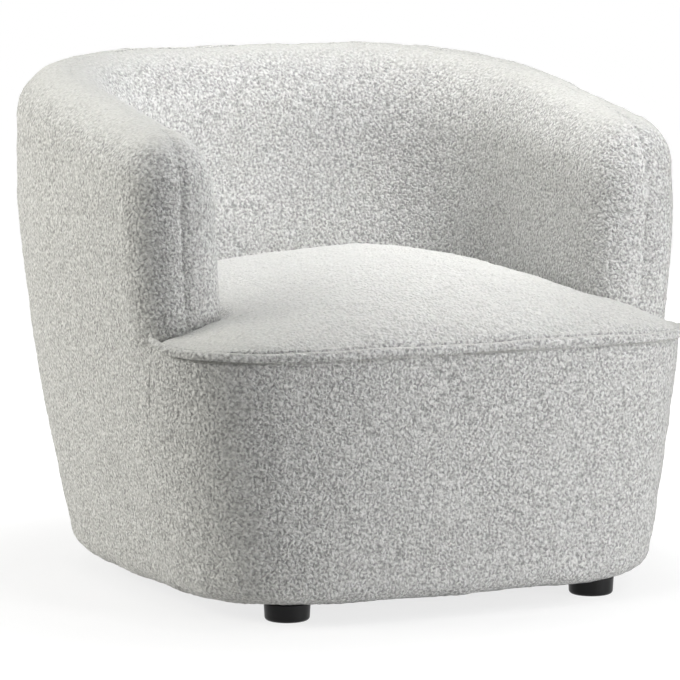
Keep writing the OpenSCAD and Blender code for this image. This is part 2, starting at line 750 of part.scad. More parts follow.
// Foam on the inside of the wall, in three lengths
module inner_foam(first, last) {
    color(foam_tint)
        slab(inner_layer(pad_d, first, last), inner_layer(pad_d + inner_foam_t, first, last));
}
module arm_foam_right() { inner_foam(0, corner_step); }
module back_foam() { inner_foam(corner_step, wall_steps - corner_step); }
module arm_foam_left() { inner_foam(wall_steps - corner_step, wall_steps); }

// Foam column behind each arm's front, domed under the rim
function cap_loop(side, level, o) =
    let (loop = [for (angle = cap_angles(0, cap_steps)) cap_point(side, angle, level, o)])
    side > 0 ? reverse(loop) : loop;
module arm_front_foam(side) {
    top_levels = concat([[LEVEL, welt_z + fabric_t], [LEVEL, shelf_z], [LEVEL, wide_z]],
        [for (turn = out_turns) [TURN, turn]]);
    color(foam_tint)
        translate([0, -ply_gap, 0])
            stack(concat(
                [for (z = [wall_z, welt_z]) cap_loop(side, [LEVEL, z], frame_d)],
                [for (level = top_levels) cap_loop(side, level, pad_d + ply_gap)]
            ));
}
module arm_front_foam_left() { arm_front_foam(-1); }
module arm_front_foam_right() { arm_front_foam(1); }

// Foam over the top rail that gives the rim its round shape
module rim_foam() {
    ts = steps(0, wall_steps);
    out_last = len(out_turns) - 2;
    in_last = len(in_turns) - 1;
    low = concat(
        [for (i = [0 : out_last])
            let (o = pad_d + (frame_d - pad_d) * i / out_last)
            [for (t = ts) outer_point(t, [SKIRT, 0], o)]],
        [for (i = [0 : in_last])
            let (o = inner_frame_d + (pad_d - inner_frame_d) * i / in_last)
            [for (t = ts) inner_point(t, [SKIRT, 0], o)]]
    );
    top = concat(
        [for (turn = concat(slice(out_turns), [90])) [for (t = ts) outer_point(t, [TURN, turn], pad_d)]],
        [for (turn = reverse(slice(in_turns))) [for (t = ts) inner_point(t, [TURN, turn], pad_d)]]
    );
    color(foam_tint)
        slab(top, low);
}
function slice(list) = [for (i = [0 : len(list) - 2]) list[i]];

// Wadding on the outside of the wall and foam behind the front cover
module outer_wadding() {
    color(wadding_tint)
        slab(outer_layer(pad_d), outer_layer(pad_d + wadding_t));
}
module apron_foam() {
    zs = concat([pad_z], body_zs);
    color(foam_tint)
        slab(apron_layer(pad_d, zs), apron_layer(pad_d + apron_foam_t, zs));
}

// Outer cover in two halves, sewn at the middle of the back, along the rim and down the arms' fronts
cover_levels = concat(outer_levels, [[SKIRT, 0]], [for (turn = out_turns) [TURN, turn]]);
function body_row(z, e) = concat(
    [for (k = [0 : cap_steps / 2 - 1]) side_point(k, z, e)],
    [for (t = steps(0, wall_steps / 2)) outer_point(t, [LEVEL, z], e)]
);
function outer_half(o) = concat(
    [for (turn = edge_turns) body_row(edge_z(turn, o), edge_in(turn, o))],
    [for (z = body_zs) body_row(z, o)],
    [for (level = cover_levels) concat(
        [for (angle = reverse(cap_angles(1, cap_steps / 2))) cap_point(1, angle, level, o)],
        [for (t = steps(0, wall_steps / 2)) outer_point(t, level, o)]
    )]
);
module outer_cover_right() {
    color(fabric)
        slab(outer_half(0), outer_half(fabric_t));
}
module outer_cover_left() {
    mirror([1, 0, 0])
        outer_cover_right();
}

// Inside covers: the back between its two corner seams, and each arm with the inner half of its front
lining_levels = concat([[LEVEL, tuck_z]], inner_levels, [[SKIRT, 0]], [for (turn = in_turns) [TURN, turn]]);
function inner_rows(o, first, last) = [for (level = lining_levels)
    [for (t = reverse(steps(first, last))) inner_point(t, level, o)]];
function lining_rows(o) = [for (level = lining_levels) concat(
    [for (t = reverse(steps(0, corner_step))) inner_point(t, level, o)],
    [for (angle = reverse(cap_angles(cap_steps / 2, cap_steps - 1))) cap_point(1, angle, level, o)]
)];
module inside_back_cover() {
    color(fabric)
        slab(inner_rows(0, corner_step, wall_steps - corner_step),
            inner_rows(fabric_t, corner_step, wall_steps - corner_step));
}
module inside_arm_cover_right() {
    color(fabric)
        slab(lining_rows(0), lining_rows(fabric_t));
}
module inside_arm_cover_left() {
    mirror([1, 0, 0])
        inside_arm_cover_right();
}

// Front cover between the side seams
function apron_rows(o) = concat(
    [for (turn = edge_turns)
        let (z = edge_z(turn, o), e = edge_in(turn, o))
        [for (i = [0 : front_steps]) apron_point(i, z, e)]],
    apron_layer(o, body_zs)
);
module apron_cover() {
    color(fabric)
        slab(apron_rows(0), apron_rows(fabric_t));
}

// Flanged seam along the front edge of the seat
function welt_point(i, z, o) = let (p = apron_at(i / front_steps, z, o, arm_reach + ply_gap)) [p.x, p.y, z];
module seat_welt() {
    zs = [welt_z - welt_h, welt_z - welt_h / 2, welt_z - fabric_t / 2];
    color(fabric)
        slab(
            [for (r = [0 : 2]) [for (i = [0 : front_steps])
                welt_point(i, zs[r], -welt_out * welt_proud_shares[r])]],
            [for (r = [0 : 2]) [for (i = [0 : front_steps])
                welt_point(i, zs[r], -ply_gap)]]
        );
}

// Black cloth under the base and its staples
module dust_cover() {
    color(cloth_tint)
        translate([0, 0, dust_z])
            difference() {
                linear_extrude(dust_t)
                    polygon(outline(base_z, base_round + dust_in, base_round + dust_in));
                for (place = foot_places)
                    translate([place.x, place.y, -overrun])
                        cylinder(h = dust_t + 2 * overrun, d = bolt_d + 2 * bolt_play, $fn = facets);
            }
}
module dust_cover_staples() {
    color(steel)
        for (i = [0 : staple_count - 1]) {
            a = 360 * (i + 0.5) / staple_count;
            p = oval(a, half_w(base_z, base_round + staple_in), half_f(base_z, base_round + staple_in),
                half_b(base_z, base_round + staple_in));
            translate([p.x, p.y, dust_z - staple_t])
                rotate([0, 0, a + 90])
                    translate([-staple_w / 2, -staple_t / 2, 0])
                        cube([staple_w, staple_t, staple_t]);
        }
}

// Feet: round, slightly tapered, with a recess for the bolt's head
foot_h = base_z - ply_gap;
module foot(place) {
    r = foot_d / 2;
    low_r = foot_low_d / 2;
    bore_r = bolt_d / 2 + bolt_play;
    color(black)
        translate([place.x, place.y, 0])
            difference() {
                rotate_extrude($fn = 2 * facets) {
                    polygon([[0, foot_edge_r], [low_r, foot_edge_r], [r, foot_h], [0, foot_h]]);
                    square([low_r - foot_edge_r, foot_edge_r + ply_gap]);
                    translate([low_r - foot_edge_r, foot_edge_r])
                        circle(r = foot_edge_r, $fn = facets);
                }
                translate([0, 0, -overrun])
                    cylinder(h = head_z + bolt_head_h + overrun, d = recess_d, $fn = facets);
                cylinder(h = overall_h, r = bore_r, $fn = facets);
            }
}
module foot_front_left() { foot(foot_places[0]); }
module foot_front_right() { foot(foot_places[1]); }
module foot_rear_left() { foot(foot_places[2]); }
module foot_rear_right() { foot(foot_places[3]); }

// Bolts up through the feet, and the flanged nuts that take them
module foot_bolts() {
    color(steel)
        for (place = foot_places)
            translate([place.x, place.y, head_z]) {
                cylinder(h = bolt_head_h, d = bolt_head_d, $fn = facets);
                cylinder(h = bolt_head_h + bolt_l, d = bolt_d, $fn = facets);
            }
}
module foot_nuts() {
    top = block_z + block_h;
    color(steel)
        for (place = foot_places)
            translate([place.x, place.y, top])
                difference() {
                    union() {
                        translate([0, 0, -nut_h])
                            cylinder(h = nut_h + nut_flange_t, d = nut_d, $fn = facets);
                        cylinder(h = nut_flange_t, d = nut_flange_d, $fn = facets);
                    }
                    translate([0, 0, -nut_h - overrun])
                        cylinder(h = nut_h + nut_flange_t + 2 * overrun, d = nut_bore_d, $fn = facets);
                }
}

base_rail_front();
base_rail_back();
base_rail_left();
base_rail_right();
seat_rail_front();
seat_rail_back();
seat_rail_left();
seat_rail_right();
front_post_left();
front_post_right();
side_post_left();
side_post_right();
rear_post_left();
rear_post_right();
arm_upright_left();
arm_upright_right();
mid_upright_left();
mid_upright_right();
corner_upright_left();
corner_upright_right();
back_upright_left();
back_upright_right();
top_rail();
foot_blocks();
frame_screws();
inner_panel();
outer_panel();
apron_panel();
seat_springs();
spring_clips();
spring_ties();
spring_cloth();
seat_foam();
seat_wadding();
back_foam();
arm_foam_left();
arm_foam_right();
arm_front_foam_left();
arm_front_foam_right();
rim_foam();
outer_wadding();
apron_foam();
outer_cover_left();
outer_cover_right();
inside_back_cover();
inside_arm_cover_left();
inside_arm_cover_right();
apron_cover();
seat_cover();
seat_welt();
dust_cover();
dust_cover_staples();
foot_front_left();
foot_front_right();
foot_rear_left();
foot_rear_right();
foot_bolts();
foot_nuts();
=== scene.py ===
"""Tub chair in looped boucle: covers, seat, seams, feet, frame finishes, studio and camera."""
import math

import bmesh
import bpy
import numpy as np
from bpy.props import FloatProperty, PointerProperty, StringProperty
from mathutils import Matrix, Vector


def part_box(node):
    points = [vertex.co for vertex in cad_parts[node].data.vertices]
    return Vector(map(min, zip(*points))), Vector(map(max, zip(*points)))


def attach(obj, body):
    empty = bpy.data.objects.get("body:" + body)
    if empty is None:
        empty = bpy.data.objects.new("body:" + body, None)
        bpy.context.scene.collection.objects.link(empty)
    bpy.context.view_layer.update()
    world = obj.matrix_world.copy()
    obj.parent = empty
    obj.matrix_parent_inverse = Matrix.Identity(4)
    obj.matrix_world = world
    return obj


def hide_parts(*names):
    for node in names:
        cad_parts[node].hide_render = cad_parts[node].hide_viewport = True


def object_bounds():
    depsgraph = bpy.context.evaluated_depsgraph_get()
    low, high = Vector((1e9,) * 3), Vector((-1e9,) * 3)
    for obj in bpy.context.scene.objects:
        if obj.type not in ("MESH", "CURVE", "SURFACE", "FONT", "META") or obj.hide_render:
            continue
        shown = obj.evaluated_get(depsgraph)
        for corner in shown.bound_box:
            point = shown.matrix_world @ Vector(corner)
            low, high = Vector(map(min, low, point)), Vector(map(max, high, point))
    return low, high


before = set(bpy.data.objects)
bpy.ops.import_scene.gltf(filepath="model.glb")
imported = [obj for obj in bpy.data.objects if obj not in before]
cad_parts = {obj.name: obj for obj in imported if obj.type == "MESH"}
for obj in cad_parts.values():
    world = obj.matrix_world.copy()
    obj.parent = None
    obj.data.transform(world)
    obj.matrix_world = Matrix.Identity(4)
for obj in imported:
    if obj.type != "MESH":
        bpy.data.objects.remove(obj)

bl_info = {
    "name": "Tub chair",
    "version": (1, 0, 0),
    "blender": (4, 5, 0),
    "location": "3D View > Sidebar > Tub chair",
    "description": "Upholstered tub chair with boucle covers, a flanged seam and round feet",
    "category": "Add Mesh",
}

CAD_LOW, CAD_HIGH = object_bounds()
MM = 0.001
HALF_TURN = math.pi
QUARTER = math.pi / 2

# Sizes that the covers share with the solids, in metres.
# Height of the rim's inner half, the straight stretch below it, and the drop to the widest level
RIM_IN_H = 100 * MM
RIM_SKIRT = 8 * MM
WIDE_DROP = 3 * MM
# The side seam: how far forward it lies at the floor, and how late it bends on its way up
SEAM_LOW_REACH = 216 * MM
SEAM_CURVE = 4
# How far below the seat's seam an arm's front starts
SILL_H = 7 * MM
# How far the inside covers run down behind the seat
TUCK_D = 24 * MM
# How far the seat's middle lies before the arms, and its crown before the chair's middle
SEAT_MID_STEP = 24 * MM
CROWN_Y = 226 * MM
# Height of the seat rails, where the wall has its full lean
SEAT_RAIL_Z = 266 * MM
# Share of the wall from an arm's front to the corner seam, and the wall's length in widths
CORNER_SHARE = 0.3
WALL_RUN = 1.6
LAYER_GAP = 0.3 * MM
SEAT_FOOT_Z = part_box("seat_foam")[0].z

# A cover's thickness, its run under its neighbour at a seam, the drop there, and the slit
COVER_T = 6 * MM
SEWN = 4 * MM
LAP_D = 0.8 * MM
SLIT_W = 1.5 * MM
SLIT_D = 0.6 * MM
# Seams: depth and width of the soft hollow, depth of the slit, run under the neighbour, lap
RIM_SEAM = (0.8 * MM, 10 * MM)
CORNER_SEAM = (1.0 * MM, 12 * MM)
BACK_SEAM = (1.4 * MM, 12 * MM)
ARM_SEAM = (3.1 * MM, 7 * MM, 1.0 * MM)
ARM_SEAM_LOW = (0.5 * MM, 7 * MM, 0.1 * MM)
APRON_SIDE = (0.5 * MM, 8 * MM, 0.1 * MM, SEWN, 0.35 * MM)
APRON_TOP = (0.9 * MM, 14 * MM, 0)
# The turn at which the two sides of the rim meet
RIDGE = QUARTER * 0.995
# A hem's two hidden rows: inset past the bottom edge, and height over the underside
HEM_TUCK = ((14 * MM, 3.4 * MM), (6 * MM, 2.4 * MM))
# The apron's fold under the flange: its depth, its place below the apron's top and its width
FOLD_D = 5 * MM
FOLD_AT = 6.6 * MM
FOLD_W = 2.2 * MM

# The seat's front seam: its rise at each arm's foot, how that fades along the seam, over the seat
# and down the covers, and the sag at the right corner
LEFT_RISE = 13 * MM
RIGHT_RISE = -8 * MM
END_FADE = 26 * MM
SEAM_FADE = 20 * MM
LIFT_CURVE = 6
CORNER_SAG = 5 * MM
SAG_X = (0.16, 0.36)
# Start and end, sideways and forwards, of the seat's lower ends and of its right corner's fall
ENDS_X, ENDS_Y = (0.273, 0.36), (-0.1, 0.27)
CORNER_FALL = 12 * MM
FALL_X, FALL_Y = (0.27, 0.38), (0.1, 0.25)
# Powers of the seat's shape: the crown across and towards the front, the front roll
CROWN_ACROSS = 1.87
CROWN_FRONT = 2.5
ROLL_START, ROLL_END = 6, 0.7
# The hollow along the wall, and the columns over which it starts at the arms
SINK_D = 13 * MM
SINK_W = 13 * MM
SINK_BLEND = 7
# Insets of the seat's edge at the front, under an arm's foot as a share, and at the foam's foot
EDGE_INSET = 1.6 * MM
UNDER_INSET = 0.015
FOOT_INSET = 28 * MM
# Below the edge: shares of the reach and drops. Above it: share over which the relief sets in
SEAT_SKIRT = ((0.995, 5 * MM), (0.985, 16 * MM), (0.975, 30 * MM))
RELIEF_SHARE = 0.03

# The flange: how much taller and prouder than the solid and how far set out it is, its section's
# squareness and lean, and its tips
WELT_TALLER = 0.6 * MM
WELT_PROUDER = 2.2 * MM
WELT_SET_OUT = 2 * MM
WELT_SQUARE = 0.8
WELT_LEAN = 0.25
WELT_TIP = 4 * MM
WELT_TIP_SHARE, WELT_TIP_CURVE = 0.6, 0.6
# Height, length and start of the waves in which it hangs
WELT_SWAY = ((0.7 * MM, 41 * MM, 0.0), (0.5 * MM, 17 * MM, 1.3))

# Height, length, number of waves and seed of the padding, its ripples, the knobs, and the flange
COVER_RELIEF = (
    (0.7 * MM, 150 * MM, 20, 3),
    (0.35 * MM, 45 * MM, 24, 5),
    (0.30 * MM, 13 * MM, 40, 7),
)
WELT_RELIEF = ((0.22 * MM, 9 * MM, 30, 11),)

# How finely the pieces are divided: points round an arm's front, columns, and rows upwards
CAP_POINTS = 241
HEM_ROWS = 9
OUTER_CAP_COLS, OUTER_WALL_COLS = 26, 190
OUTER_BODY_ROWS, OUTER_FACE_ROWS, OUTER_RIM_ROWS = 52, 44, 24
INNER_FACE_ROWS, INNER_RIM_ROWS = 42, 28
BACK_COLS = 120
ARM_WALL_COLS, ARM_CAP_COLS = 90, 28
APRON_COLS, APRON_ROWS = 190, 56
# The apron's last rows, in millimetres below its top
APRON_FINE = (17, 14, 11.5, 9.8, 8.6, 7.6, 6.7, 5.8, 4.8, 3.2, 1.5, 0)
SEAT_FRONT_COLS, SEAT_CAP_COLS, SEAT_WALL_COLS = 170, 15, 215
SEAT_CAP_POINTS, SEAT_ROWS = 121, 84
WELT_COLS, WELT_SIDES = 420, 16


def size(name, words, value, low, high):
    """A length for the panel."""
    kind = {"subtype": "DISTANCE", "unit": "LENGTH"}
    return FloatProperty(name=name, description=words, default=value, min=low, max=high, **kind)


def share(name, words, value, low, high):
    """A plain number for the panel."""
    return FloatProperty(name=name, description=words, default=value, min=low, max=high)


def watts(name, place, value, high=500):
    """A softbox's power for the panel."""
    words = f"Power of the softbox {place}, in watts"
    return FloatProperty(name=name, description=words, default=value, min=0, max=high, unit="POWER")


def tint(name, words, value):
    """A colour for the panel, as an sRGB hex value."""
    return StringProperty(name=name, description=words, default=value)


class ChairForm(bpy.types.PropertyGroup):
    """Sizes of the body, the wall and the seat."""

    width: size("Width", "Width over the sides' widest part", CAD_HIGH.x - CAD_LOW.x, 0.7, 1.0)
    depth: size("Depth", "From the front seam to the back", CAD_HIGH.y - CAD_LOW.y, 0.7, 1.0)
    height: size("Height", "Height of the rim at the middle of the back", 0.700, 0.6, 0.9)
    arm_h: size("Arm height", "Height of the rim at the arms' fronts", 0.630, 0.5, 0.7)
    seam_z: size("Seat seam", "Height of the seam at the seat's front edge", 0.357, 0.3, 0.4)
    base_z: size("Underside", "Height of the body above the floor", 0.023, 0.01, 0.06)
    base_round: size("Bottom edge", "Radius of the body's bottom edge", 0.028, 0.01, 0.05)
    side_taper: size("Side taper", "How far the sides draw in at the base", 0.064, 0, 0.1)
    front_taper: size("Front taper", "How far the front draws in at the base", 0.013, 0, 0.05)
    back_taper: size("Back taper", "How far the back draws in at the base", 0.092, 0, 0.15)
    taper_curve: share("Taper curve", "How the drawing-in speeds up downwards", 1.5, 1, 3)
    front_square: share("Front corners", "Squareness of the front corners", 4.6, 2, 6)
    back_square: share("Back corners", "Squareness of the back corners", 3.1, 2, 6)
    wall_t: size("Wall", "Thickness of the arms and the back at the rim", 0.130, 0.08, 0.16)
    wall_lean: size("Wall lean", "Extra thickness of the wall at seat level", 0.013, 0, 0.04)
    rim_out_r: size("Outer rim", "Radius of the rim on the outside", 0.068, 0.04, 0.1)
    rim_curve: share("Rim curve", "How the rim's slope changes along the arm", 1.1, 1, 2)
    arm_reach: size("Arm reach", "From the chair's middle to the arms' fronts", 0.250, 0.2, 0.3)
    arm_cap: size("Arm front", "How far an arm front's rounding reaches back", 0.068, 0.03, 0.1)
    cap_low: share("Arm front, low", "Squareness of an arm's front at seat level", 2.7, 2, 6)
    cap_high: share("Arm front, high", "Squareness of an arm's front at the rim", 2.0, 2, 6)
    seat_rise: size("Seat rise", "Rise of the seat behind its front seam", 0.036, 0, 0.1)
    seat_crown: size("Seat crown", "Crown of the seat above that", 0.066, 0, 0.1)
    seat_ends: size("Seat ends", "Drop of the seat in front of the arms", 0.021, 0, 0.04)
    welt_h: size("Flange height", "Height of the seam's flange", 0.010, 0.004, 0.02)
    welt_out: size("Flange", "How far the flange stands proud", 0.004, 0.002, 0.01)


class CoverLook(bpy.types.PropertyGroup):
    """Colours and scale of the finishes."""

    loop_hex: tint("Loops", "Colour of the boucle's loops", "#E4E4E2")
    # Painted shade: the darker colour given to the gaps between the loops
    gap_shade_hex: tint("Gaps", "Colour between the loops", "#979796")
    # Painted light: the lighter, more even colour of faces that look up, for light from above
    # filling the gaps
    painted_top_light_hex: tint("Even", "Colour of the cloth where it faces up", "#D6D6D2")
    foot_hex: tint("Feet", "Colour of the moulded feet", "#131314")
    loop_w: size("Loop spacing", "Size of the boucle's curls", 0.0036, 0.002, 0.02)
    loop_h: size("Loop height", "Height of the loops over the ground", 0.0016, 0, 0.005)


class StudioLight(bpy.types.PropertyGroup):
    """Levels of the studio's lamps."""

    top_w: watts("Top", "overhead", 22)
    left_w: watts("Left", "on the left", 79)
    front_w: watts("Front", "low at the front", 16.0)
    right_w: watts("Right", "low at the right front", 3.0, 50)
    back_w: watts("Back", "behind on the right", 15)
    inside_w: watts("Inside", "aimed at the inside back", 2.7, 50)
    seat_w: watts("Seat", "aimed at the seat", 0.85, 50)


def raised(base, power):
    """A power that keeps the base's sign."""
    return np.sign(base) * np.abs(base) ** power


def graded(count, start=False, end=False):
    """Shares from 0 to 1 that lie closer together at the ends that carry a seam."""
    closer, fading = 0.8, 2.0
    step = np.ones(count)
    near = 1 - closer * np.exp(-np.arange(count) / fading)
    if start:
        step *= near
    if end:
        step *= near[::-1]
    return np.concatenate([[0], np.cumsum(step)]) / step.sum()


def smooth(value, low, high):
    """0 below low, 1 above high and an S-curve between."""
    part = np.clip((value - low) / (high - low), 0, 1)
    return part * part * (3 - 2 * part)


def row_of(x, y, z):
    """Points side by side, at one height or one each."""
    return np.stack([x, y, z + 0 * x], axis=1)


def run_of(points):
    """Length along a polyline up to each point."""
    return np.concatenate([[0], np.cumsum(np.linalg.norm(np.diff(points, axis=0), axis=1))])


def along(points, shares):
    """Points at these shares of a polyline's length."""
    run = run_of(points)
    at = shares * run[-1]
    return np.stack([np.interp(at, run, points[:, axis]) for axis in range(3)], axis=1)


class Form:
    """The chair's curves, worked out from the panel's sizes. In its methods z is a height, o an
    offset into the wall, w, f and b are an oval's half width and reaches, a is an angle in plan,
    and t a share of the wall from the right arm's front round to the left one's."""

    def __init__(self, sizes):
        self.s = sizes
        self.wide_z = sizes.arm_h - RIM_IN_H - RIM_SKIRT - WIDE_DROP
        self.shelf_z = sizes.seam_z + sizes.seat_rise
        self.cap_y = sizes.arm_reach - sizes.arm_cap
        self.rim_in_r = sizes.wall_t - sizes.rim_out_r
        self.ridge_y = sizes.depth / 2 - sizes.rim_out_r
        drawn_in = sizes.front_taper * self.draw_in(sizes.seam_z - sizes.welt_h / 2)
        self.front_reach = sizes.depth / 2 - sizes.welt_out + drawn_in

    def draw_in(self, z):
        """0 at the widest level, 1 at the underside."""
        part = np.clip((self.wide_z - z) / (self.wide_z - self.s.base_z), 0, None)
        return part**self.s.taper_curve

    def half_w(self, z, o):
        """Half width of the body."""
        return self.s.width / 2 - self.s.side_taper * self.draw_in(z) - o

    def half_f(self, z, o):
        """Reach of the body towards the front."""
        return self.front_reach - self.s.front_taper * self.draw_in(z) - o

    def half_b(self, z, o):
        """Reach of the body towards the back."""
        return self.s.depth / 2 - self.s.back_taper * self.draw_in(z) - o

    def lean_at(self, z):
        """How much thicker the wall is than at the rim."""
        return self.s.wall_lean * np.clip((self.wide_z - z) / (self.wide_z - SEAT_RAIL_Z), 0, None)

    def inner_w(self, z, o):
        """Half width between the arms' inner faces."""
        return self.s.width / 2 - self.s.wall_t - self.lean_at(z) + o

    def inner_b(self, z, o):
        """Reach back to the inside of the back."""
        return self.s.depth / 2 - self.s.wall_t - self.lean_at(z) + o

    def width_at(self, y, w, f):
        """Half width of the squared front at a distance from the chair's middle."""
        n = self.s.front_square
        return w * np.clip(1 - (np.abs(y) / f) ** n, 0, 1) ** (1 / n)

    def start_angle(self, y, w, f):
        """Angle of the point that lies this far forward on the right side."""
        return np.arctan2(-y, self.width_at(y, w, f))

    def oval(self, a, w, f, b):
        """Plan point of the squared ellipse at an angle."""
        front = np.sin(a) < 0
        n = np.where(front, self.s.front_square, self.s.back_square)
        d = np.where(front, f, b)
        r = ((np.abs(np.cos(a)) / w) ** n + (np.abs(np.sin(a)) / d) ** n) ** (-1 / n)
        return r * np.cos(a), r * np.sin(a)

    def rim_z(self, y):
        """Height of the rim, which falls from the back to the arms' fronts."""
        part = np.clip((self.ridge_y - y) / (self.ridge_y + self.cap_y), 0, 1)
        return self.s.height - (self.s.height - self.s.arm_h) * part**self.s.rim_curve

    def outer_at(self, t, z, o):
        """Plan point on the wall's outside."""
        w, f = self.half_w(z, o), self.half_f(z, 0)
        a = self.start_angle(self.cap_y, w, f)
        return self.oval(a + t * (HALF_TURN - 2 * a), w, f, self.half_b(z, o))

    def inner_at(self, t, z, o):
        """Plan point on the wall's inside."""
        w, f = self.inner_w(z, o), self.front_reach
        a = self.start_angle(self.cap_y, w, f)
        return self.oval(a + t * (HALF_TURN - 2 * a), w, f, self.inner_b(z, o))

    def wall_row(self, t, outside, low_z=None, part=0.0, turn=0.0):
        """One row along the wall: a part of the way from low_z up to the rim's foot, or a turn over
        the rim."""
        place = self.outer_at if outside else self.inner_at
        side_r = self.s.rim_out_r if outside else self.rim_in_r
        rise = self.s.rim_out_r if outside else RIM_IN_H
        o = side_r * (1 - np.cos(turn))
        top = self.rim_z(place(t, self.wide_z, o)[1])
        if low_z is None:
            z = top - rise + rise * np.sin(turn)
        else:
            z = low_z + (top - rise - low_z) * part
        x, y = place(t, z, o)
        return row_of(x, y, z)

    def cap_row(self, angle, low_z=None, part=0.0, turn=0.0):
        """One row round the right arm's front, at angles from 0 outside to a half turn inside."""
        s = self.s
        rise = s.rim_out_r + (RIM_IN_H - s.rim_out_r) * angle / HALF_TURN
        if low_z is None:
            z = s.arm_h - rise + rise * np.sin(turn)
        else:
            z = low_z + (s.arm_h - rise - low_z) * part
        shrink = 1 - np.cos(turn)
        out_w, in_w = self.half_w(z, s.rim_out_r * shrink), self.inner_w(z, self.rim_in_r * shrink)
        x_out = self.width_at(self.cap_y, out_w, self.half_f(z, 0))
        x_in = self.width_at(self.cap_y, in_w, self.front_reach)
        level = np.clip((z - self.shelf_z) / (s.arm_h - self.shelf_z), 0, 1)
        e = 2 / (s.cap_low + (s.cap_high - s.cap_low) * level)
        x = (x_out + x_in) / 2 + (x_out - x_in) / 2 * raised(np.cos(angle), e)
        y = -self.cap_y - s.arm_cap * np.cos(turn) * raised(np.sin(angle), e)
        return row_of(x, y, z)

    def end_lift(self, y, rise):
        """How far the seat's seam rises next to an arm."""
        return rise * np.exp(-np.abs(y + self.s.arm_reach) / END_FADE)

    def seam_lift(self, x, y):
        """How far the seat's front seam rises at the arms' feet, less the right corner's sag."""
        rise = self.end_lift(y, np.where(x < 0, LEFT_RISE, RIGHT_RISE))
        return rise * (np.abs(x) > self.s.width / 4) - CORNER_SAG * smooth(x, *SAG_X)

    def seam_reach(self, z):
        """How far forward the side seam lies at a height."""
        part = np.minimum(1, z / self.s.seam_z) ** SEAM_CURVE
        return SEAM_LOW_REACH + (self.s.arm_reach - SEAM_LOW_REACH) * part

    def front_row(self, shares, z, o, reach):
        """One row along the front between the side seams, from left to right."""
        w, f = self.half_w(z, o), self.half_f(z, o)
        a = self.start_angle(reach, w, f)
        x, y = self.oval(HALF_TURN - a + shares * (HALF_TURN + 2 * a), w, f, self.half_b(z, o))
        return row_of(x, y, z)

    def side_row(self, shares, z, o):
        """One row on the right side, from its seam back to the arm front's rounding."""
        reach = self.seam_reach(z)
        y = -reach + (reach - self.cap_y) * shares
        x = self.width_at(y, self.half_w(z, o), self.half_f(z, 0))
        return row_of(x, y, z)

    def hem(self):
        """(inset, height) of the rows that turn under the body."""
        s = self.s
        turns = np.linspace(0, QUARTER, HEM_ROWS)
        inset = s.base_round * (1 - np.sin(turns))
        z = s.base_z + s.base_round * (1 - np.cos(turns))
        tuck = [(s.base_round + past, s.base_z + over) for past, over in HEM_TUCK]
        return tuck + list(zip(inset, z))

    def seat_top(self, x, y):
        """Height of the seat's top over a plan point."""
        s = self.s
        n = s.front_square
        wide = np.abs(x) / self.half_w(s.seam_z, 0)
        deep = np.abs(np.minimum(y, 0)) / self.half_f(s.seam_z, 0)
        part = np.clip((wide**n + deep**n) ** (1 / n), 0, 1)
        across = np.clip(1 - np.abs(x / self.inner_w(self.shelf_z, 0)) ** CROWN_ACROSS, 0, 1)
        depth = self.inner_b(self.shelf_z, 0) + CROWN_Y
        fall = 1 - np.clip((y + CROWN_Y) / depth, 0, 1) ** 2
        crown = s.seat_crown * across * (1 - part**CROWN_FRONT) * fall
        ends = s.seat_ends * smooth(np.abs(x), *ENDS_X) * smooth(-y, *ENDS_Y)
        ends = ends + CORNER_FALL * smooth(x, *FALL_X) * smooth(-y, *FALL_Y)
        roll = np.clip(1 - part**ROLL_START, 0, 1) ** ROLL_END
        return s.seam_z + (s.seat_rise - ends) * roll + crown


def waves(points, length, count, seed):
    """A smooth random field of unit spread, with ripples about one length apart."""
    rng = np.random.default_rng(seed)
    way = rng.normal(size=(count, 3))
    way /= np.linalg.norm(way, axis=1)[:, None]
    way *= 2 * math.pi / (length * rng.uniform(0.8, 1.25, count))[:, None]
    phase = rng.uniform(0, 2 * math.pi, count)
    total = np.zeros(points.shape[:-1])
    for k in range(count):
        total += np.cos(points @ way[k] + phase[k])
    return total * math.sqrt(2 / count)


def normals(grid):
    """Unit normals of a grid of points whose columns run anticlockwise and rows rise."""
    across = np.gradient(grid, axis=1)
    up = np.gradient(grid, axis=0)
    n = np.cross(across, up)
    length = np.linalg.norm(n, axis=2, keepdims=True)
    tiny = 1e-12
    poor = length[..., 0] < tiny
    n = n / np.maximum(length, tiny)
    for row in range(1, grid.shape[0]):
        n[row][poor[row]] = n[row - 1][poor[row]]
    return n


def from_edge(grid, edge):
    """Distance of each point of a grid from one of its edges, along the grid."""
    axis = 1 if edge in ("first", "last") else 0
    step = np.linalg.norm(np.diff(grid, axis=axis), axis=2)
    zero = np.zeros((grid.shape[0], 1)) if axis else np.zeros((1, grid.shape[1]))
    run = np.concatenate([zero, np.cumsum(step, axis=axis)], axis=axis)
    if edge in ("last", "top"):
        run = (run[:, -1:] if axis else run[-1:, :]) - run
    return run


def seam_dip(distance, soft, soft_w, slit=SLIT_D, tuck=0.0, lap=LAP_D):
    """How far a cover sinks near a seam: a soft hollow, and a narrow slit where the edges meet. The
    last stretch of a cover that is sewn under its neighbour lies a little deeper."""
    past = np.maximum(distance - tuck, 0)
    under = lap * smooth(tuck - distance, 0, SEWN)
    hollow = soft * np.exp(-((past / soft_w) ** 1.5))
    return hollow + slit * np.exp(-((past / SLIT_W) ** 2)) + under


def seams(grid, **edges):
    """How far a cover sinks at its seams, each with its dip's values."""
    return sum(seam_dip(from_edge(grid, edge), *values) for edge, values in edges.items())


def relieved(grid, dip):
    """The cover's grid with its seams sunk and the cloth's relief added."""
    return grid + normals(grid) * (cloth_relief(grid) - dip)[..., None]


def cloth_relief(points, fields=COVER_RELIEF):
    """Unevenness of the padding and the loops' knobbly surface, in metres."""
    return sum(height * waves(points, *field) for height, *field in fields)


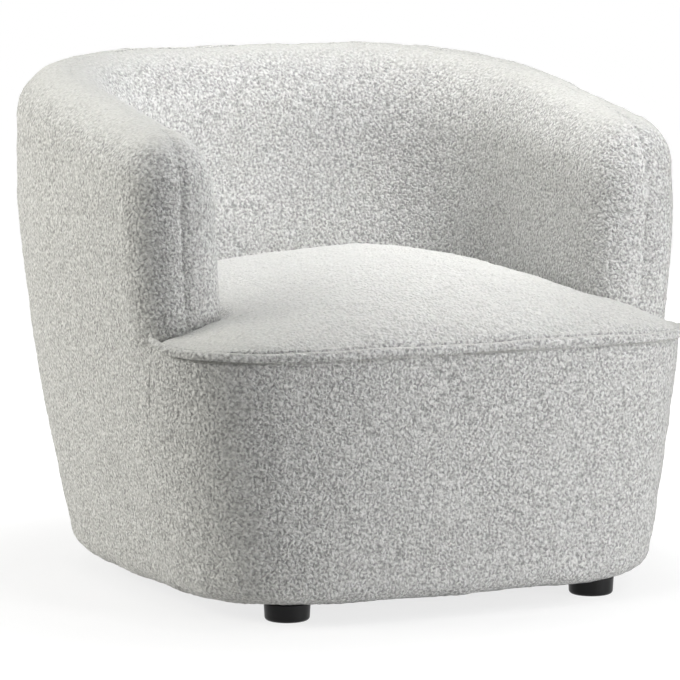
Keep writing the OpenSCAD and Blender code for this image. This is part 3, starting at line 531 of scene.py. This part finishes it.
def mesh_piece(name, points, faces, material):
    """A smooth-shaded mesh object with one material."""
    mesh = bpy.data.meshes.new(name)
    mesh.from_pydata(points.tolist(), [], faces)
    mesh.validate()
    mesh.polygons.foreach_set("use_smooth", [True] * len(mesh.polygons))
    mesh.update()
    piece = bpy.data.objects.new(name, mesh)
    bpy.context.collection.objects.link(piece)
    piece.data.materials.append(material)
    return piece


def solid_from(name, grid, material):
    """A closed piece: the grid, the same grid set back along its normals, and the edges between."""
    rows, cols = grid.shape[:2]
    back = grid - normals(grid) * COVER_T
    points = np.concatenate([grid.reshape(-1, 3), back.reshape(-1, 3)])
    index = np.arange(rows * cols).reshape(rows, cols)
    low = index + rows * cols

    def quads(*corners):
        return np.stack([corner.ravel() for corner in corners], axis=1)

    faces = [
        quads(index[:-1, :-1], index[:-1, 1:], index[1:, 1:], index[1:, :-1]),
        quads(low[:-1, :-1], low[1:, :-1], low[1:, 1:], low[:-1, 1:]),
        quads(index[0, :-1], low[0, :-1], low[0, 1:], index[0, 1:]),
        quads(index[-1, :-1], index[-1, 1:], low[-1, 1:], low[-1, :-1]),
        quads(index[:-1, 0], index[1:, 0], low[1:, 0], low[:-1, 0]),
        quads(index[:-1, -1], low[:-1, -1], low[1:, -1], index[1:, -1]),
    ]
    return mesh_piece(name, points, np.concatenate(faces).tolist(), material)


def bands(rings, sides, inward=False):
    """Faces between each closed ring and the next."""
    index = np.arange(sides)
    after = (index + 1) % sides
    faces = []
    for a in range(0, (rings - 1) * sides, sides):
        corners = [a + index, a + after, a + sides + after, a + sides + index]
        if inward:
            corners = corners[:1] + corners[:0:-1]
        faces += np.stack(corners, axis=1).tolist()
    return faces


def mirrored(grid):
    """The cover on the other side, with its columns still anticlockwise."""
    other = grid[:, ::-1].copy()
    other[..., 0] *= -1
    return other


def outer_grid(form, rise):
    """Right half of the outer cover, from the arm front's seam round to the middle of the back. The
    seat's seam rises by this much at the arm's foot."""
    s = form.s
    cap = graded(OUTER_CAP_COLS, start=True)
    wall = graded(OUTER_WALL_COLS, end=True)[1:] / 2
    angles = QUARTER * (1 - np.linspace(0, 1, CAP_POINTS))
    rows = []

    def body(z, o, lift=0.0):
        """A row below the arm's front."""
        side = form.side_row(cap, z, o)
        side[:, 2] += lift * form.end_lift(side[:, 1], rise)
        x, y = form.outer_at(wall, z, o)
        rows.append(np.concatenate([side, row_of(x, y, z)]))

    def upper(low_z, wall_z, part=0.0, turn=0.0):
        """A row round the arm's front and along the wall."""
        front = along(form.cap_row(angles, low_z, part, turn), cap)
        rows.append(np.concatenate([front, form.wall_row(wall, True, wall_z, part, turn)]))

    for inset, z in form.hem():
        body(z, inset)
    low, high = s.base_z + s.base_round, s.seam_z - SILL_H
    for part in np.linspace(0, 1, OUTER_BODY_ROWS)[1:]:
        body(low + (high - low) * part, 0.0, part**LIFT_CURVE)
    foot_z = s.seam_z + form.end_lift(form.cap_row(angles, s.seam_z)[:, 1], rise)
    for part in np.linspace(0, 1, OUTER_FACE_ROWS):
        upper(foot_z, s.seam_z, part)
    for turn in graded(OUTER_RIM_ROWS, end=True)[1:] * RIDGE:
        upper(None, None, turn=turn)
    return np.array(rows)


def inner_wall_rows(form):
    """(low_z, part, turn) of the rows of an inside cover, from its tuck up over the rim."""
    tuck_z = form.s.seam_z - TUCK_D
    rows = [(tuck_z, part, 0.0) for part in np.linspace(0, 1, INNER_FACE_ROWS)]
    over = QUARTER + SEWN / form.rim_in_r
    return rows + [(None, 0.0, turn) for turn in graded(INNER_RIM_ROWS, end=True)[1:] * over]


def inside_back_grid(form):
    """Inside back cover between its two corner seams, from right to left."""
    first = CORNER_SHARE - SEWN / (WALL_RUN * form.s.width)
    t = (first + (1 - 2 * first) * graded(BACK_COLS, True, True))[::-1]
    return np.array([form.wall_row(t, False, *row) for row in inner_wall_rows(form)])


def inside_arm_grid(form):
    """Right inside arm cover, from the corner seam forwards and round the inner half of the arm's
    front, and how far each column runs on under the outer cover at the rim."""
    t = (CORNER_SHARE * (1 - graded(ARM_WALL_COLS, start=True)))[:-1]
    turned = QUARTER + SEWN / form.s.arm_cap
    angles = HALF_TURN - turned * np.linspace(0, 1, CAP_POINTS)
    cap = graded(ARM_CAP_COLS, end=True)
    rows = []
    for low_z, part, turn in inner_wall_rows(form):
        front = along(form.cap_row(angles, low_z, part, min(turn, RIDGE)), cap)
        rows.append(np.concatenate([form.wall_row(t, False, low_z, part, turn), front]))
    sewn = np.concatenate([np.full(len(t), SEWN), np.zeros(len(cap))])
    return np.array(rows), sewn


def apron_grid(form):
    """Front cover between the side seams, from its hem up to the flange."""
    s = form.s
    columns = graded(APRON_COLS, True, True)

    def row_at(z, inset):
        return form.front_row(columns, z, inset, form.seam_reach(z) - SEWN)

    rows = [row_at(z, inset) for inset, z in form.hem()]
    low, high = s.base_z + s.base_round, s.seam_z - s.welt_h / 2
    fine = 1 - np.array(APRON_FINE) * MM / (high - low)
    for part in np.concatenate([np.linspace(0, fine[0], APRON_ROWS)[1:-1], fine]):
        row = row_at(low + (high - low) * part, 0.0)
        row[:, 2] += form.seam_lift(row[:, 0], row[:, 1]) * part**LIFT_CURVE
        rows.append(row)
    return np.array(rows)


def seat_ring(form, z, front_o):
    """Closed outline of the seat in plan, and 1 where it meets the wall or 0 along the front. It
    runs on a little under the arms' feet."""
    s = form.s
    under = 2 * SEWN
    columns = np.linspace(0, 1, SEAT_FRONT_COLS)
    front = form.front_row(columns, min(z, s.seam_z), front_o, s.arm_reach - under)
    hidden = front[:, 1] > -s.arm_reach
    front[:, 0] *= 1 - UNDER_INSET * hidden
    dense = QUARTER + QUARTER * np.linspace(0, 1, SEAT_CAP_POINTS)
    shares = np.linspace(0, 1, SEAT_CAP_COLS + 2)[1:-1]
    cap = along(form.cap_row(dense, max(z, s.seam_z)), shares)
    cap[:, 1] += under * (1 - shares)
    x, y = form.inner_at(np.linspace(0, 1, SEAT_WALL_COLS), z, -LAYER_GAP)
    wall = row_of(x, y, 0)
    left = cap[::-1] * np.array([-1, 1, 1])
    ring = np.concatenate([front, cap, wall, left])[:, :2]
    meets_wall = np.concatenate([hidden.astype(float), np.ones(len(ring) - len(front))])
    return ring, meets_wall


def seat_surface(form, ring, wall, mid):
    """Rings of the seat's top, from its edge inwards to its middle."""
    side = SINK_BLEND // 2
    padded = np.concatenate([wall[-side:], wall, wall[:side]])
    wall = np.convolve(padded, np.ones(SINK_BLEND) / SINK_BLEND, "valid")
    shares = 1 - graded(SEAT_ROWS, start=True)[:-1]
    reach = np.linalg.norm(ring - mid, axis=1)
    rows = []
    for part in shares:
        plan = mid + (ring - mid) * part
        x, y = plan[:, 0], plan[:, 1]
        gap = reach * (1 - part)
        z = form.seat_top(x, y)
        z = z + form.seam_lift(x, y) * np.exp(-gap / SEAM_FADE) * (1 - wall)
        z = z - wall * SINK_D * np.exp(-((gap / SINK_W) ** 2))
        rows.append(np.column_stack([plan, z]))
    top = np.array(rows)
    n = normals(np.concatenate([top, top[:, :1]], axis=1))[:, :-1]
    n *= np.sign(n[..., 2:3] + 1e-9)
    fade = np.clip((1 - shares) / RELIEF_SHARE, 0, 1)[:, None]
    return top + n * (cloth_relief(top) * fade)[..., None]


def build_seat(form, material):
    """The seat as one closed, crowned cushion on a flat foot."""
    mid = np.array([0, -form.s.arm_reach - SEAT_MID_STEP])
    ring, wall = seat_ring(form, form.shelf_z, EDGE_INSET)
    top = seat_surface(form, ring, wall, mid)
    foot, _ = seat_ring(form, SEAT_FOOT_Z, FOOT_INSET)
    skirt = [
        np.column_stack([mid + (ring - mid) * part, top[0, :, 2] - drop])
        for part, drop in SEAT_SKIRT
    ]
    skirt.append(np.column_stack([foot, np.full(len(foot), SEAT_FOOT_Z)]))
    centre = np.array([mid[0], mid[1], form.seat_top(mid[:1], mid[1:])[0]])
    rings = skirt[::-1] + list(top)
    points = np.concatenate(rings + [[centre], [[mid[0], mid[1], SEAT_FOOT_Z]]])

    count = len(ring)
    last, tip = (len(rings) - 1) * count, len(rings) * count
    faces = bands(len(rings), count)
    faces += [[last + k, last + (k + 1) % count, tip] for k in range(count)]
    faces += [[(k + 1) % count, k, tip + 1] for k in range(count)]
    return mesh_piece("seat", points, faces, material)


def welt_grid(form):
    """The flange's strip: one line of points for each side of its section."""
    s = form.s
    shares = np.linspace(0, 1, WELT_COLS)
    line = form.front_row(shares, s.seam_z - s.welt_h / 2, 0.0, s.arm_reach + LAYER_GAP)
    tangent = np.gradient(line, axis=0)
    out = np.column_stack([tangent[:, 1], -tangent[:, 0], 0 * shares])
    out /= np.linalg.norm(out, axis=1)[:, None]
    run = run_of(line)
    sway = sum(rise * np.sin(run / length + start) for rise, length, start in WELT_SWAY)
    lift = form.seam_lift(line[:, 0], line[:, 1]) + sway
    ends = np.minimum(run, run[-1] - run)
    taper = np.clip(ends / WELT_TIP, WELT_TIP_SHARE, 1) ** WELT_TIP_CURVE
    height, proud = s.welt_h / 2 + WELT_TALLER, s.welt_out / 2 + WELT_PROUDER
    grid = []
    for turn in np.linspace(0, 2 * math.pi, WELT_SIDES + 1)[:-1]:
        side = raised(math.cos(turn), WELT_SQUARE) * proud * taper
        up = raised(math.sin(turn), WELT_SQUARE) * height * taper
        base = line + np.array([0, 0, 1]) * (lift + up)[:, None]
        grid.append(base + out * (side - WELT_LEAN * up + WELT_SET_OUT)[:, None])
    grid = np.array(grid)
    return grid + cloth_relief(grid, WELT_RELIEF)[..., None] * out


def build_welt(form, material):
    """Flanged seam along the seat's front edge: a folded strip that stands proud."""
    grid = welt_grid(form)
    sides, length = grid.shape[:2]
    points = grid.transpose(1, 0, 2).reshape(-1, 3)
    faces = bands(length, sides, inward=True)
    faces.append(list(range(sides)))
    faces.append([(length - 1) * sides + k for k in reversed(range(sides))])
    return mesh_piece("seat_welt_flange", points, faces, material)


def linear(hex_value):
    """An sRGB hex colour as linear RGBA."""
    parts = [int(hex_value[i : i + 2], 16) / 255 for i in (1, 3, 5)]
    return [c / 12.92 if c <= 0.04045 else ((c + 0.055) / 1.055) ** 2.4 for c in parts] + [1.0]


def socket(node, key):
    """The input with this name or number that the node's settings leave in use."""
    if isinstance(key, int):
        return node.inputs[key]
    return next(s for s in node.inputs if s.name == key and s.enabled)


def add(tree, kind, settings=None, links=None):
    """Adds a shader node with its settings and links."""
    node = tree.nodes.new("ShaderNode" + kind)
    for key, value in (settings or {}).items():
        if isinstance(key, str) and hasattr(node, key):
            setattr(node, key, value)
        else:
            socket(node, key).default_value = value
    for key, source in (links or {}).items():
        tree.links.new(source, socket(node, key))
    return node


def blank_material(name):
    """An empty node material and its tree."""
    material = bpy.data.materials.new(name)
    material.use_nodes = True
    material.node_tree.nodes.clear()
    return material, material.node_tree


def own_place(tree):
    """The place of a point in its object's own frame."""
    return add(tree, "TexCoord").outputs["Object"]


def ramp(tree, source, stops):
    """A colour ramp over a value."""
    node = add(tree, "ValToRGB", links={"Fac": source})
    marks = node.color_ramp.elements
    while len(marks) < len(stops):
        marks.new(0.5)
    for mark, (place, colour) in zip(marks, stops):
        mark.position = place
        mark.color = colour
    return node.outputs["Color"]


def noise(tree, place, ripple, detail, distortion=0.0):
    """Noise whose ripples are about this size."""
    settings = {"Scale": 1 / ripple, "Detail": detail, "Distortion": distortion}
    return add(tree, "TexNoise", settings, {"Vector": place}).outputs["Fac"]


def eased(tree, value, *levels):
    """A value mapped from two levels to two others, with soft ends."""
    names = ("From Min", "From Max", "To Min", "To Max")
    settings = {"interpolation_type": "SMOOTHSTEP", **dict(zip(names, levels))}
    return add(tree, "MapRange", settings, {"Value": value}).outputs[0]


def bumped(tree, height, strength, distance):
    """The normal over a relief of this height."""
    settings = {"Strength": strength, "Distance": distance}
    return add(tree, "Bump", settings, {"Height": height}).outputs["Normal"]


def surface(tree, settings, links):
    """The material's one shader and its output."""
    shader = add(tree, "BsdfPrincipled", settings, links)
    add(tree, "OutputMaterial", links={"Surface": shader.outputs[0]})


def grey(value):
    """A neutral colour."""
    return (value, value, value, 1)


def boucle(look):
    """Wool-blend boucle: curled loops of yarn packed closely over a ground weave. The curls stand
    up and catch the light, painted shade darkens the small gaps between them, and stray fibres
    give a faint sheen. Where it faces up, painted light makes the cloth lighter and more even."""
    material, tree = blank_material("boucle_looped_wool")
    curls = noise(tree, own_place(tree), look.loop_w, detail=0.6, distortion=0.5)
    height = ramp(tree, curls, [(0.25, grey(0)), (0.73, grey(1))])
    # Painted shade: the gaps between the loops take the darker gap colour
    colour = ramp(tree, height, [(0.0, linear(look.gap_shade_hex)), (1.0, linear(look.loop_hex))])
    # Painted light: faces that look up are mixed towards a lighter, more even colour
    facing = add(tree, "NewGeometry").outputs["Normal"]
    parts = add(tree, "SeparateXYZ", links={"Vector": facing})
    lit = eased(tree, parts.outputs["Z"], 0.45, 0.95, 0.0, 0.68)
    even = {"data_type": "RGBA", "B": linear(look.painted_top_light_hex)}
    even = add(tree, "Mix", even, {"Factor": lit, "A": colour})
    yarn = {"Roughness": 0.95, "Specular IOR Level": 0.1}
    sheen = {"Sheen Weight": 0.22, "Sheen Roughness": 0.45}
    normal = bumped(tree, height, strength=1.0, distance=look.loop_h)
    surface(tree, yarn | sheen, {"Base Color": even.outputs[2], "Normal": normal})
    return material


def moulded_plastic(look):
    """Black polypropylene, injection moulded: a fine even grain and a soft satin shine."""
    material, tree = blank_material("polypropylene_moulded_satin")
    grain_w, grain_h, dark_hex = 0.9 * MM, 0.05 * MM, "#0D0D0E"
    grain = noise(tree, own_place(tree), grain_w, detail=2.0)
    # Roughness from 0.30 up to 0.44 over the grain
    gloss = add(tree, "Math", {"operation": "MULTIPLY_ADD", 1: 0.14, 2: 0.30}, {0: grain})
    colour = ramp(tree, grain, [(0.2, linear(dark_hex)), (0.8, linear(look.foot_hex))])
    links = {"Base Color": colour, "Roughness": gloss.outputs[0]}
    links["Normal"] = bumped(tree, grain, 0.25, grain_h)
    surface(tree, {"IOR": 1.49, "Specular IOR Level": 0.2}, links)
    return material


def hidden_finish(
    name, base_hex, dark_hex, scale_mm, stretch, roughness, metallic=0.0, depth_mm=0.1
):
    """A plain raw finish with its own grain: wood, board, steel or spun-bond cloth."""
    material, tree = blank_material(name)
    fit = add(tree, "Mapping", {"Scale": stretch}, {"Vector": own_place(tree)})
    grain = noise(tree, fit.outputs["Vector"], scale_mm * MM, detail=3.0, distortion=0.4)
    colour = ramp(tree, grain, [(0.3, linear(dark_hex)), (0.7, linear(base_hex))])
    normal = bumped(tree, grain, strength=0.4, distance=depth_mm * MM)
    settings = {"Roughness": roughness, "Metallic": metallic}
    surface(tree, settings, {"Base Color": colour, "Normal": normal})
    return material


def boucle_of(context):
    """The one boucle material that all the covers share."""
    return bpy.data.materials.get("boucle_looped_wool") or boucle(context.scene.chair_look)


def finish_cover(piece, fill, *nodes):
    """Puts a padded cover on the body in place of its solids."""
    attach(piece, "root")
    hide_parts(*nodes)


def coat(material, *nodes):
    """Gives solids that stay as they are their finish."""
    for name in nodes:
        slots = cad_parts[name].material_slots
        for slot in slots:
            slot.material = material
        if not slots:
            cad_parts[name].data.materials.append(material)


class OuterCovers(bpy.types.Operator):
    """Make the two halves of the outer cover"""

    bl_idname = "tub_chair.outer_covers"
    bl_label = "Outer covers"

    def cover(self, form, rise):
        """The right cover's surface. Its front seam is shallow below the seat."""
        grid = outer_grid(form, rise)
        arm = smooth(grid[..., 2], form.s.seam_z, form.shelf_z)
        front = [low + (high - low) * arm for low, high in zip(ARM_SEAM_LOW, ARM_SEAM)]
        return relieved(grid, seams(grid, first=front, last=BACK_SEAM, top=RIM_SEAM))

    def execute(self, context):
        form = Form(context.scene.chair_form)
        material = boucle_of(context)
        right = self.cover(form, RIGHT_RISE)
        left = mirrored(self.cover(form, LEFT_RISE))
        right = solid_from("outer_cover_right_padded", right, material)
        left = solid_from("outer_cover_left_padded", left, material)
        finish_cover(right, 0.9, "outer_cover_right", "outer_wadding")
        finish_cover(left, 0.9, "outer_cover_left", "rim_foam")
        return {"FINISHED"}


class InsideBack(bpy.types.Operator):
    """Make the inside back cover"""

    bl_idname = "tub_chair.inside_back"
    bl_label = "Inside back"

    def execute(self, context):
        form = Form(context.scene.chair_form)
        grid = inside_back_grid(form)
        corner = (*CORNER_SEAM, SLIT_D, SEWN)
        dip = seams(grid, first=corner, last=corner, top=(*RIM_SEAM, SLIT_D, SEWN))
        piece = solid_from("inside_back_padded", relieved(grid, dip), boucle_of(context))
        finish_cover(piece, 0.9, "inside_back_cover", "back_foam")
        return {"FINISHED"}


class InsideArms(bpy.types.Operator):
    """Make the inside covers of both arms, with the inner halves of their fronts"""

    bl_idname = "tub_chair.inside_arms"
    bl_label = "Inside arms"

    def execute(self, context):
        form = Form(context.scene.chair_form)
        grid, sewn = inside_arm_grid(form)
        front, rim = (*ARM_SEAM, SEWN), (*RIM_SEAM, SLIT_D, sewn)
        grid = relieved(grid, seams(grid, first=CORNER_SEAM, last=front, top=rim))
        material = boucle_of(context)
        right = solid_from("inside_arm_right_padded", grid, material)
        left = solid_from("inside_arm_left_padded", mirrored(grid), material)
        finish_cover(right, 0.9, "inside_arm_cover_right", "arm_foam_right", "arm_front_foam_right")
        finish_cover(left, 0.9, "inside_arm_cover_left", "arm_foam_left", "arm_front_foam_left")
        return {"FINISHED"}


class Apron(bpy.types.Operator):
    """Make the padded front cover under the seat"""

    bl_idname = "tub_chair.apron"
    bl_label = "Apron"

    def execute(self, context):
        form = Form(context.scene.chair_form)
        grid = apron_grid(form)
        dip = seams(grid, first=APRON_SIDE, last=APRON_SIDE, top=APRON_TOP)
        below = from_edge(grid, "top")
        dip = dip + FOLD_D * np.exp(-(((below - FOLD_AT) / FOLD_W) ** 2))
        piece = solid_from("apron_padded", relieved(grid, dip), boucle_of(context))
        finish_cover(piece, 0.9, "apron_cover", "apron_foam")
        return {"FINISHED"}


class Seat(bpy.types.Operator):
    """Make the crowned seat"""

    bl_idname = "tub_chair.seat"
    bl_label = "Seat"

    def execute(self, context):
        piece = build_seat(Form(context.scene.chair_form), boucle_of(context))
        finish_cover(piece, 0.95, "seat_cover", "seat_wadding", "seat_foam")
        return {"FINISHED"}


class Flange(bpy.types.Operator):
    """Make the flanged seam along the seat's front edge"""

    bl_idname = "tub_chair.flange"
    bl_label = "Flanged seam"

    def execute(self, context):
        piece = build_welt(Form(context.scene.chair_form), boucle_of(context))
        finish_cover(piece, 1.0, "seat_welt")
        return {"FINISHED"}


class Feet(bpy.types.Operator):
    """Finish the four moulded feet"""

    bl_idname = "tub_chair.feet"
    bl_label = "Feet"

    def execute(self, context):
        feet = ("foot_front_left", "foot_front_right", "foot_rear_left", "foot_rear_right")
        coat(moulded_plastic(context.scene.chair_look), *feet)
        return {"FINISHED"}


class InnerFrame(bpy.types.Operator):
    """Finish the frame, boards, springs, fasteners and dust cover"""

    bl_idname = "tub_chair.inner_frame"
    bl_label = "Inner frame"

    def execute(self, context):
        names = list(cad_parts)
        # Grain stretched evenly, and metal with a relief of 0.02 mm
        even, metal = (1, 1, 1), (1.0, 0.02)
        # Birch plywood, sawn: long pale grain with darker veins
        plywood = hidden_finish("birch_plywood_sawn", "#D9BC8C", "#B9925F", 9, (0.15, 1, 3), 0.75)
        # Beech, planed: fine short pink-brown flecks
        beech = hidden_finish("beech_planed", "#C9A478", "#A67C52", 5, (1, 1, 0.12), 0.65)
        # Hardboard, pressed: even brown fibres
        board = hidden_finish("hardboard_pressed", "#7A5A3C", "#5E432C", 3, even, 0.7)
        # Spring steel, oil tempered: dark, smooth wire
        spring = hidden_finish("spring_steel_tempered", "#6E6F73", "#55565A", 2, even, 0.35, *metal)
        # Steel, zinc plated: brighter and slightly mottled
        zinc = hidden_finish("steel_zinc_plated", "#B9BCC2", "#94979E", 4, even, 0.32, *metal)
        # Polypropylene cloth, spun bonded: matte black with a pressed dot grain
        cloth = hidden_finish("spunbond_cloth_black", "#1D1D1F", "#0F0F10", 1.6, even, 0.9, 0, 0.2)
        coat(plywood, *[n for n in names if n.endswith("_rail") or "_rail_" in n])
        coat(beech, *[n for n in names if "post" in n or "upright" in n], "foot_blocks")
        coat(board, "inner_panel", "outer_panel", "apron_panel")
        coat(spring, "seat_springs", "spring_ties")
        coat(zinc, "spring_clips", "frame_screws", "foot_bolts", "foot_nuts", "dust_cover_staples")
        coat(cloth, "spring_cloth", "dust_cover")
        return {"FINISHED"}


# Daylight from a window is warmer than the other lamps
WHITE = (1, 1, 1)
WARM_WHITE = (1.0, 0.985, 0.925)
# Square soft lamps: name, place, width, aim, spread in degrees and colour
LAMPS = (
    ("top", (-0.4, 0.2, 2.8), 2.0, (0, 0, 0.4), 180, WHITE),
    ("left", (-2.87, 1.1, 1.4), 1.5, (0, 0, 0.4), 180, WARM_WHITE),
    ("front", (1.2, -2.9, 0.45), 1.2, (0, 0, 0.3), 180, WHITE),
    ("right", (1.5, -2.0, 0.35), 0.8, (0.3, -0.4, 0.15), 50, WHITE),
    ("back", (2.6, 1.3, 1.7), 1.4, (0, 0, 0.4), 180, WHITE),
    ("inside", (0.5, -1.6, 2.2), 0.5, (0.05, 0.3, 0.58), 40, WHITE),
    ("seat", (0, -0.35, 2.6), 0.5, (0, -0.1, 0.42), 24, WHITE),
)
# The paper: its radius and sides, and the patch of painted shade under the chair, where the camera
# sees its glow dimmer
FLOOR_R, FLOOR_SIDES = 14, 96
SHADE_MID = (-0.12, 0, 0)
SHADE_NEAR, SHADE_FAR = 0.35, 0.85
SHADE_LEVEL = 0.78

# The photograph's view: a long lens, a little above the seat and left of the front
CAMERA_TURN, CAMERA_RISE = -24.8, 7.44
CAMERA_AIM_X, CAMERA_AIM_Z = 0.0002, 0.3149
CAMERA_DISTANCE = 6.169
CAMERA_LENS = 238.6


def softbox(context, name, place, width, power, target, spread, colour):
    """A square soft lamp aimed at a point."""
    data = bpy.data.lights.new(name, "AREA")
    data.size = width
    data.energy = power
    data.color = colour
    data.spread = math.radians(spread)
    lamp = bpy.data.objects.new(name, data)
    lamp.location = place
    lamp.rotation_euler = (Vector(target) - Vector(place)).to_track_quat("-Z", "Y").to_euler()
    context.collection.objects.link(lamp)


def seen_straight(tree):
    """1 for what the camera or a reflection sees, 0 for light that bounces."""
    path = add(tree, "LightPath")
    rays = {0: path.outputs["Is Camera Ray"], 1: path.outputs["Is Glossy Ray"]}
    return add(tree, "Math", {"operation": "MAXIMUM"}, rays).outputs[0]


def white_floor():
    """Seamless paper, matt: it bounces light like white paper, and the camera sees it white but for
    the chair's soft shadow and a patch of painted shade under the chair, where its glow is dimmer."""
    material, tree = blank_material("studio_paper_matt")
    seen = seen_straight(tree)
    distance = {"operation": "DISTANCE", 1: SHADE_MID}
    away = add(tree, "VectorMath", distance, {0: own_place(tree)}).outputs["Value"]
    # Painted shade: the glow that the camera sees falls from full white to a lower level near the
    # chair
    level = eased(tree, away, SHADE_NEAR, SHADE_FAR, SHADE_LEVEL, 1.0)
    paper = add(tree, "BsdfDiffuse", {"Color": linear("#F4F4F4")})
    shadow = add(tree, "BsdfDiffuse", {"Color": linear("#7F7F7F")})
    glow = add(tree, "Emission", {"Color": grey(1)}, {"Strength": level})
    bright = add(tree, "AddShader", links={0: shadow.outputs[0], 1: glow.outputs[0]})
    both = add(tree, "MixShader", links={0: seen, 1: paper.outputs[0], 2: bright.outputs[0]})
    add(tree, "OutputMaterial", links={"Surface": both.outputs[0]})
    return material


def make_floor(context):
    """A round sheet of paper under the chair."""
    floor_mesh = bpy.data.meshes.new("floor")
    shape = bmesh.new()
    bmesh.ops.create_circle(shape, cap_ends=True, segments=FLOOR_SIDES, radius=FLOOR_R)
    shape.to_mesh(floor_mesh)
    shape.free()
    floor = bpy.data.objects.new("floor", floor_mesh)
    context.collection.objects.link(floor)
    floor_mesh.materials.append(white_floor())


def make_world(context):
    """White where the camera looks past the paper, but no light."""
    world = bpy.data.worlds.new("studio")
    context.scene.world = world
    world.use_nodes = True
    tree = world.node_tree
    tree.nodes.clear()
    seen = seen_straight(tree)
    dark = add(tree, "Background", {"Color": grey(0), "Strength": 0.0})
    white = add(tree, "Background", {"Color": grey(1), "Strength": 1.0})
    pick = add(tree, "MixShader", links={0: seen, 1: dark.outputs[0], 2: white.outputs[0]})
    add(tree, "OutputWorld", links={"Surface": pick.outputs[0]})


def make_camera(context):
    """The photograph's camera."""
    data = bpy.data.cameras.new("photo_camera")
    data.lens = CAMERA_LENS
    camera = bpy.data.objects.new("photo_camera", data)
    turn, rise = math.radians(CAMERA_TURN), math.radians(CAMERA_RISE)
    level = math.cos(rise)
    back = Vector((math.sin(turn) * level, -math.cos(turn) * level, math.sin(rise)))
    right = Vector((math.cos(turn), math.sin(turn), 0))
    aim = Vector((0, 0, CAMERA_AIM_Z)) + right * CAMERA_AIM_X
    camera.location = aim + back * CAMERA_DISTANCE
    camera.rotation_euler = (-back).to_track_quat("-Z", "Y").to_euler()
    context.collection.objects.link(camera)
    context.scene.camera = camera
    context.scene.view_settings.view_transform = "Standard"


class Studio(bpy.types.Operator):
    """Make the floor, the lamps, the world and the camera"""

    bl_idname = "tub_chair.studio"
    bl_label = "Studio"

    def execute(self, context):
        make_floor(context)
        for name, place, width, target, spread, colour in LAMPS:
            power = getattr(context.scene.chair_light, name + "_w")
            softbox(context, name + "_softbox", place, width, power, target, spread, colour)
        make_world(context)
        make_camera(context)
        return {"FINISHED"}


PIECES = (OuterCovers, InsideBack, InsideArms, Apron, Seat, Flange, Feet, InnerFrame, Studio)
GROUPS = (ChairForm, CoverLook, StudioLight)


class TubChairPanel(bpy.types.Panel):
    """Sizes, finishes and pieces of the tub chair"""

    bl_idname = "VIEW3D_PT_tub_chair"
    bl_label = "Tub chair"
    bl_space_type = "VIEW_3D"
    bl_region_type = "UI"
    bl_category = "Tub chair"

    def draw(self, context):
        scene = context.scene
        for group in (scene.chair_form, scene.chair_look, scene.chair_light):
            box = self.layout.box()
            for name in group.__annotations__:
                box.prop(group, name)
        for piece in PIECES:
            self.layout.operator(piece.bl_idname)


def register():
    for cls in (*GROUPS, *PIECES, TubChairPanel):
        bpy.utils.register_class(cls)
    bpy.types.Scene.chair_form = PointerProperty(type=ChairForm)
    bpy.types.Scene.chair_look = PointerProperty(type=CoverLook)
    bpy.types.Scene.chair_light = PointerProperty(type=StudioLight)


def unregister():
    del bpy.types.Scene.chair_light
    del bpy.types.Scene.chair_look
    del bpy.types.Scene.chair_form
    for cls in reversed((*GROUPS, *PIECES, TubChairPanel)):
        bpy.utils.unregister_class(cls)


def main():
    """Builds every piece."""
    register()
    for name in (piece.bl_idname.split(".")[1] for piece in PIECES):
        getattr(bpy.ops.tub_chair, name)()


if __name__ == "__main__":
    main()
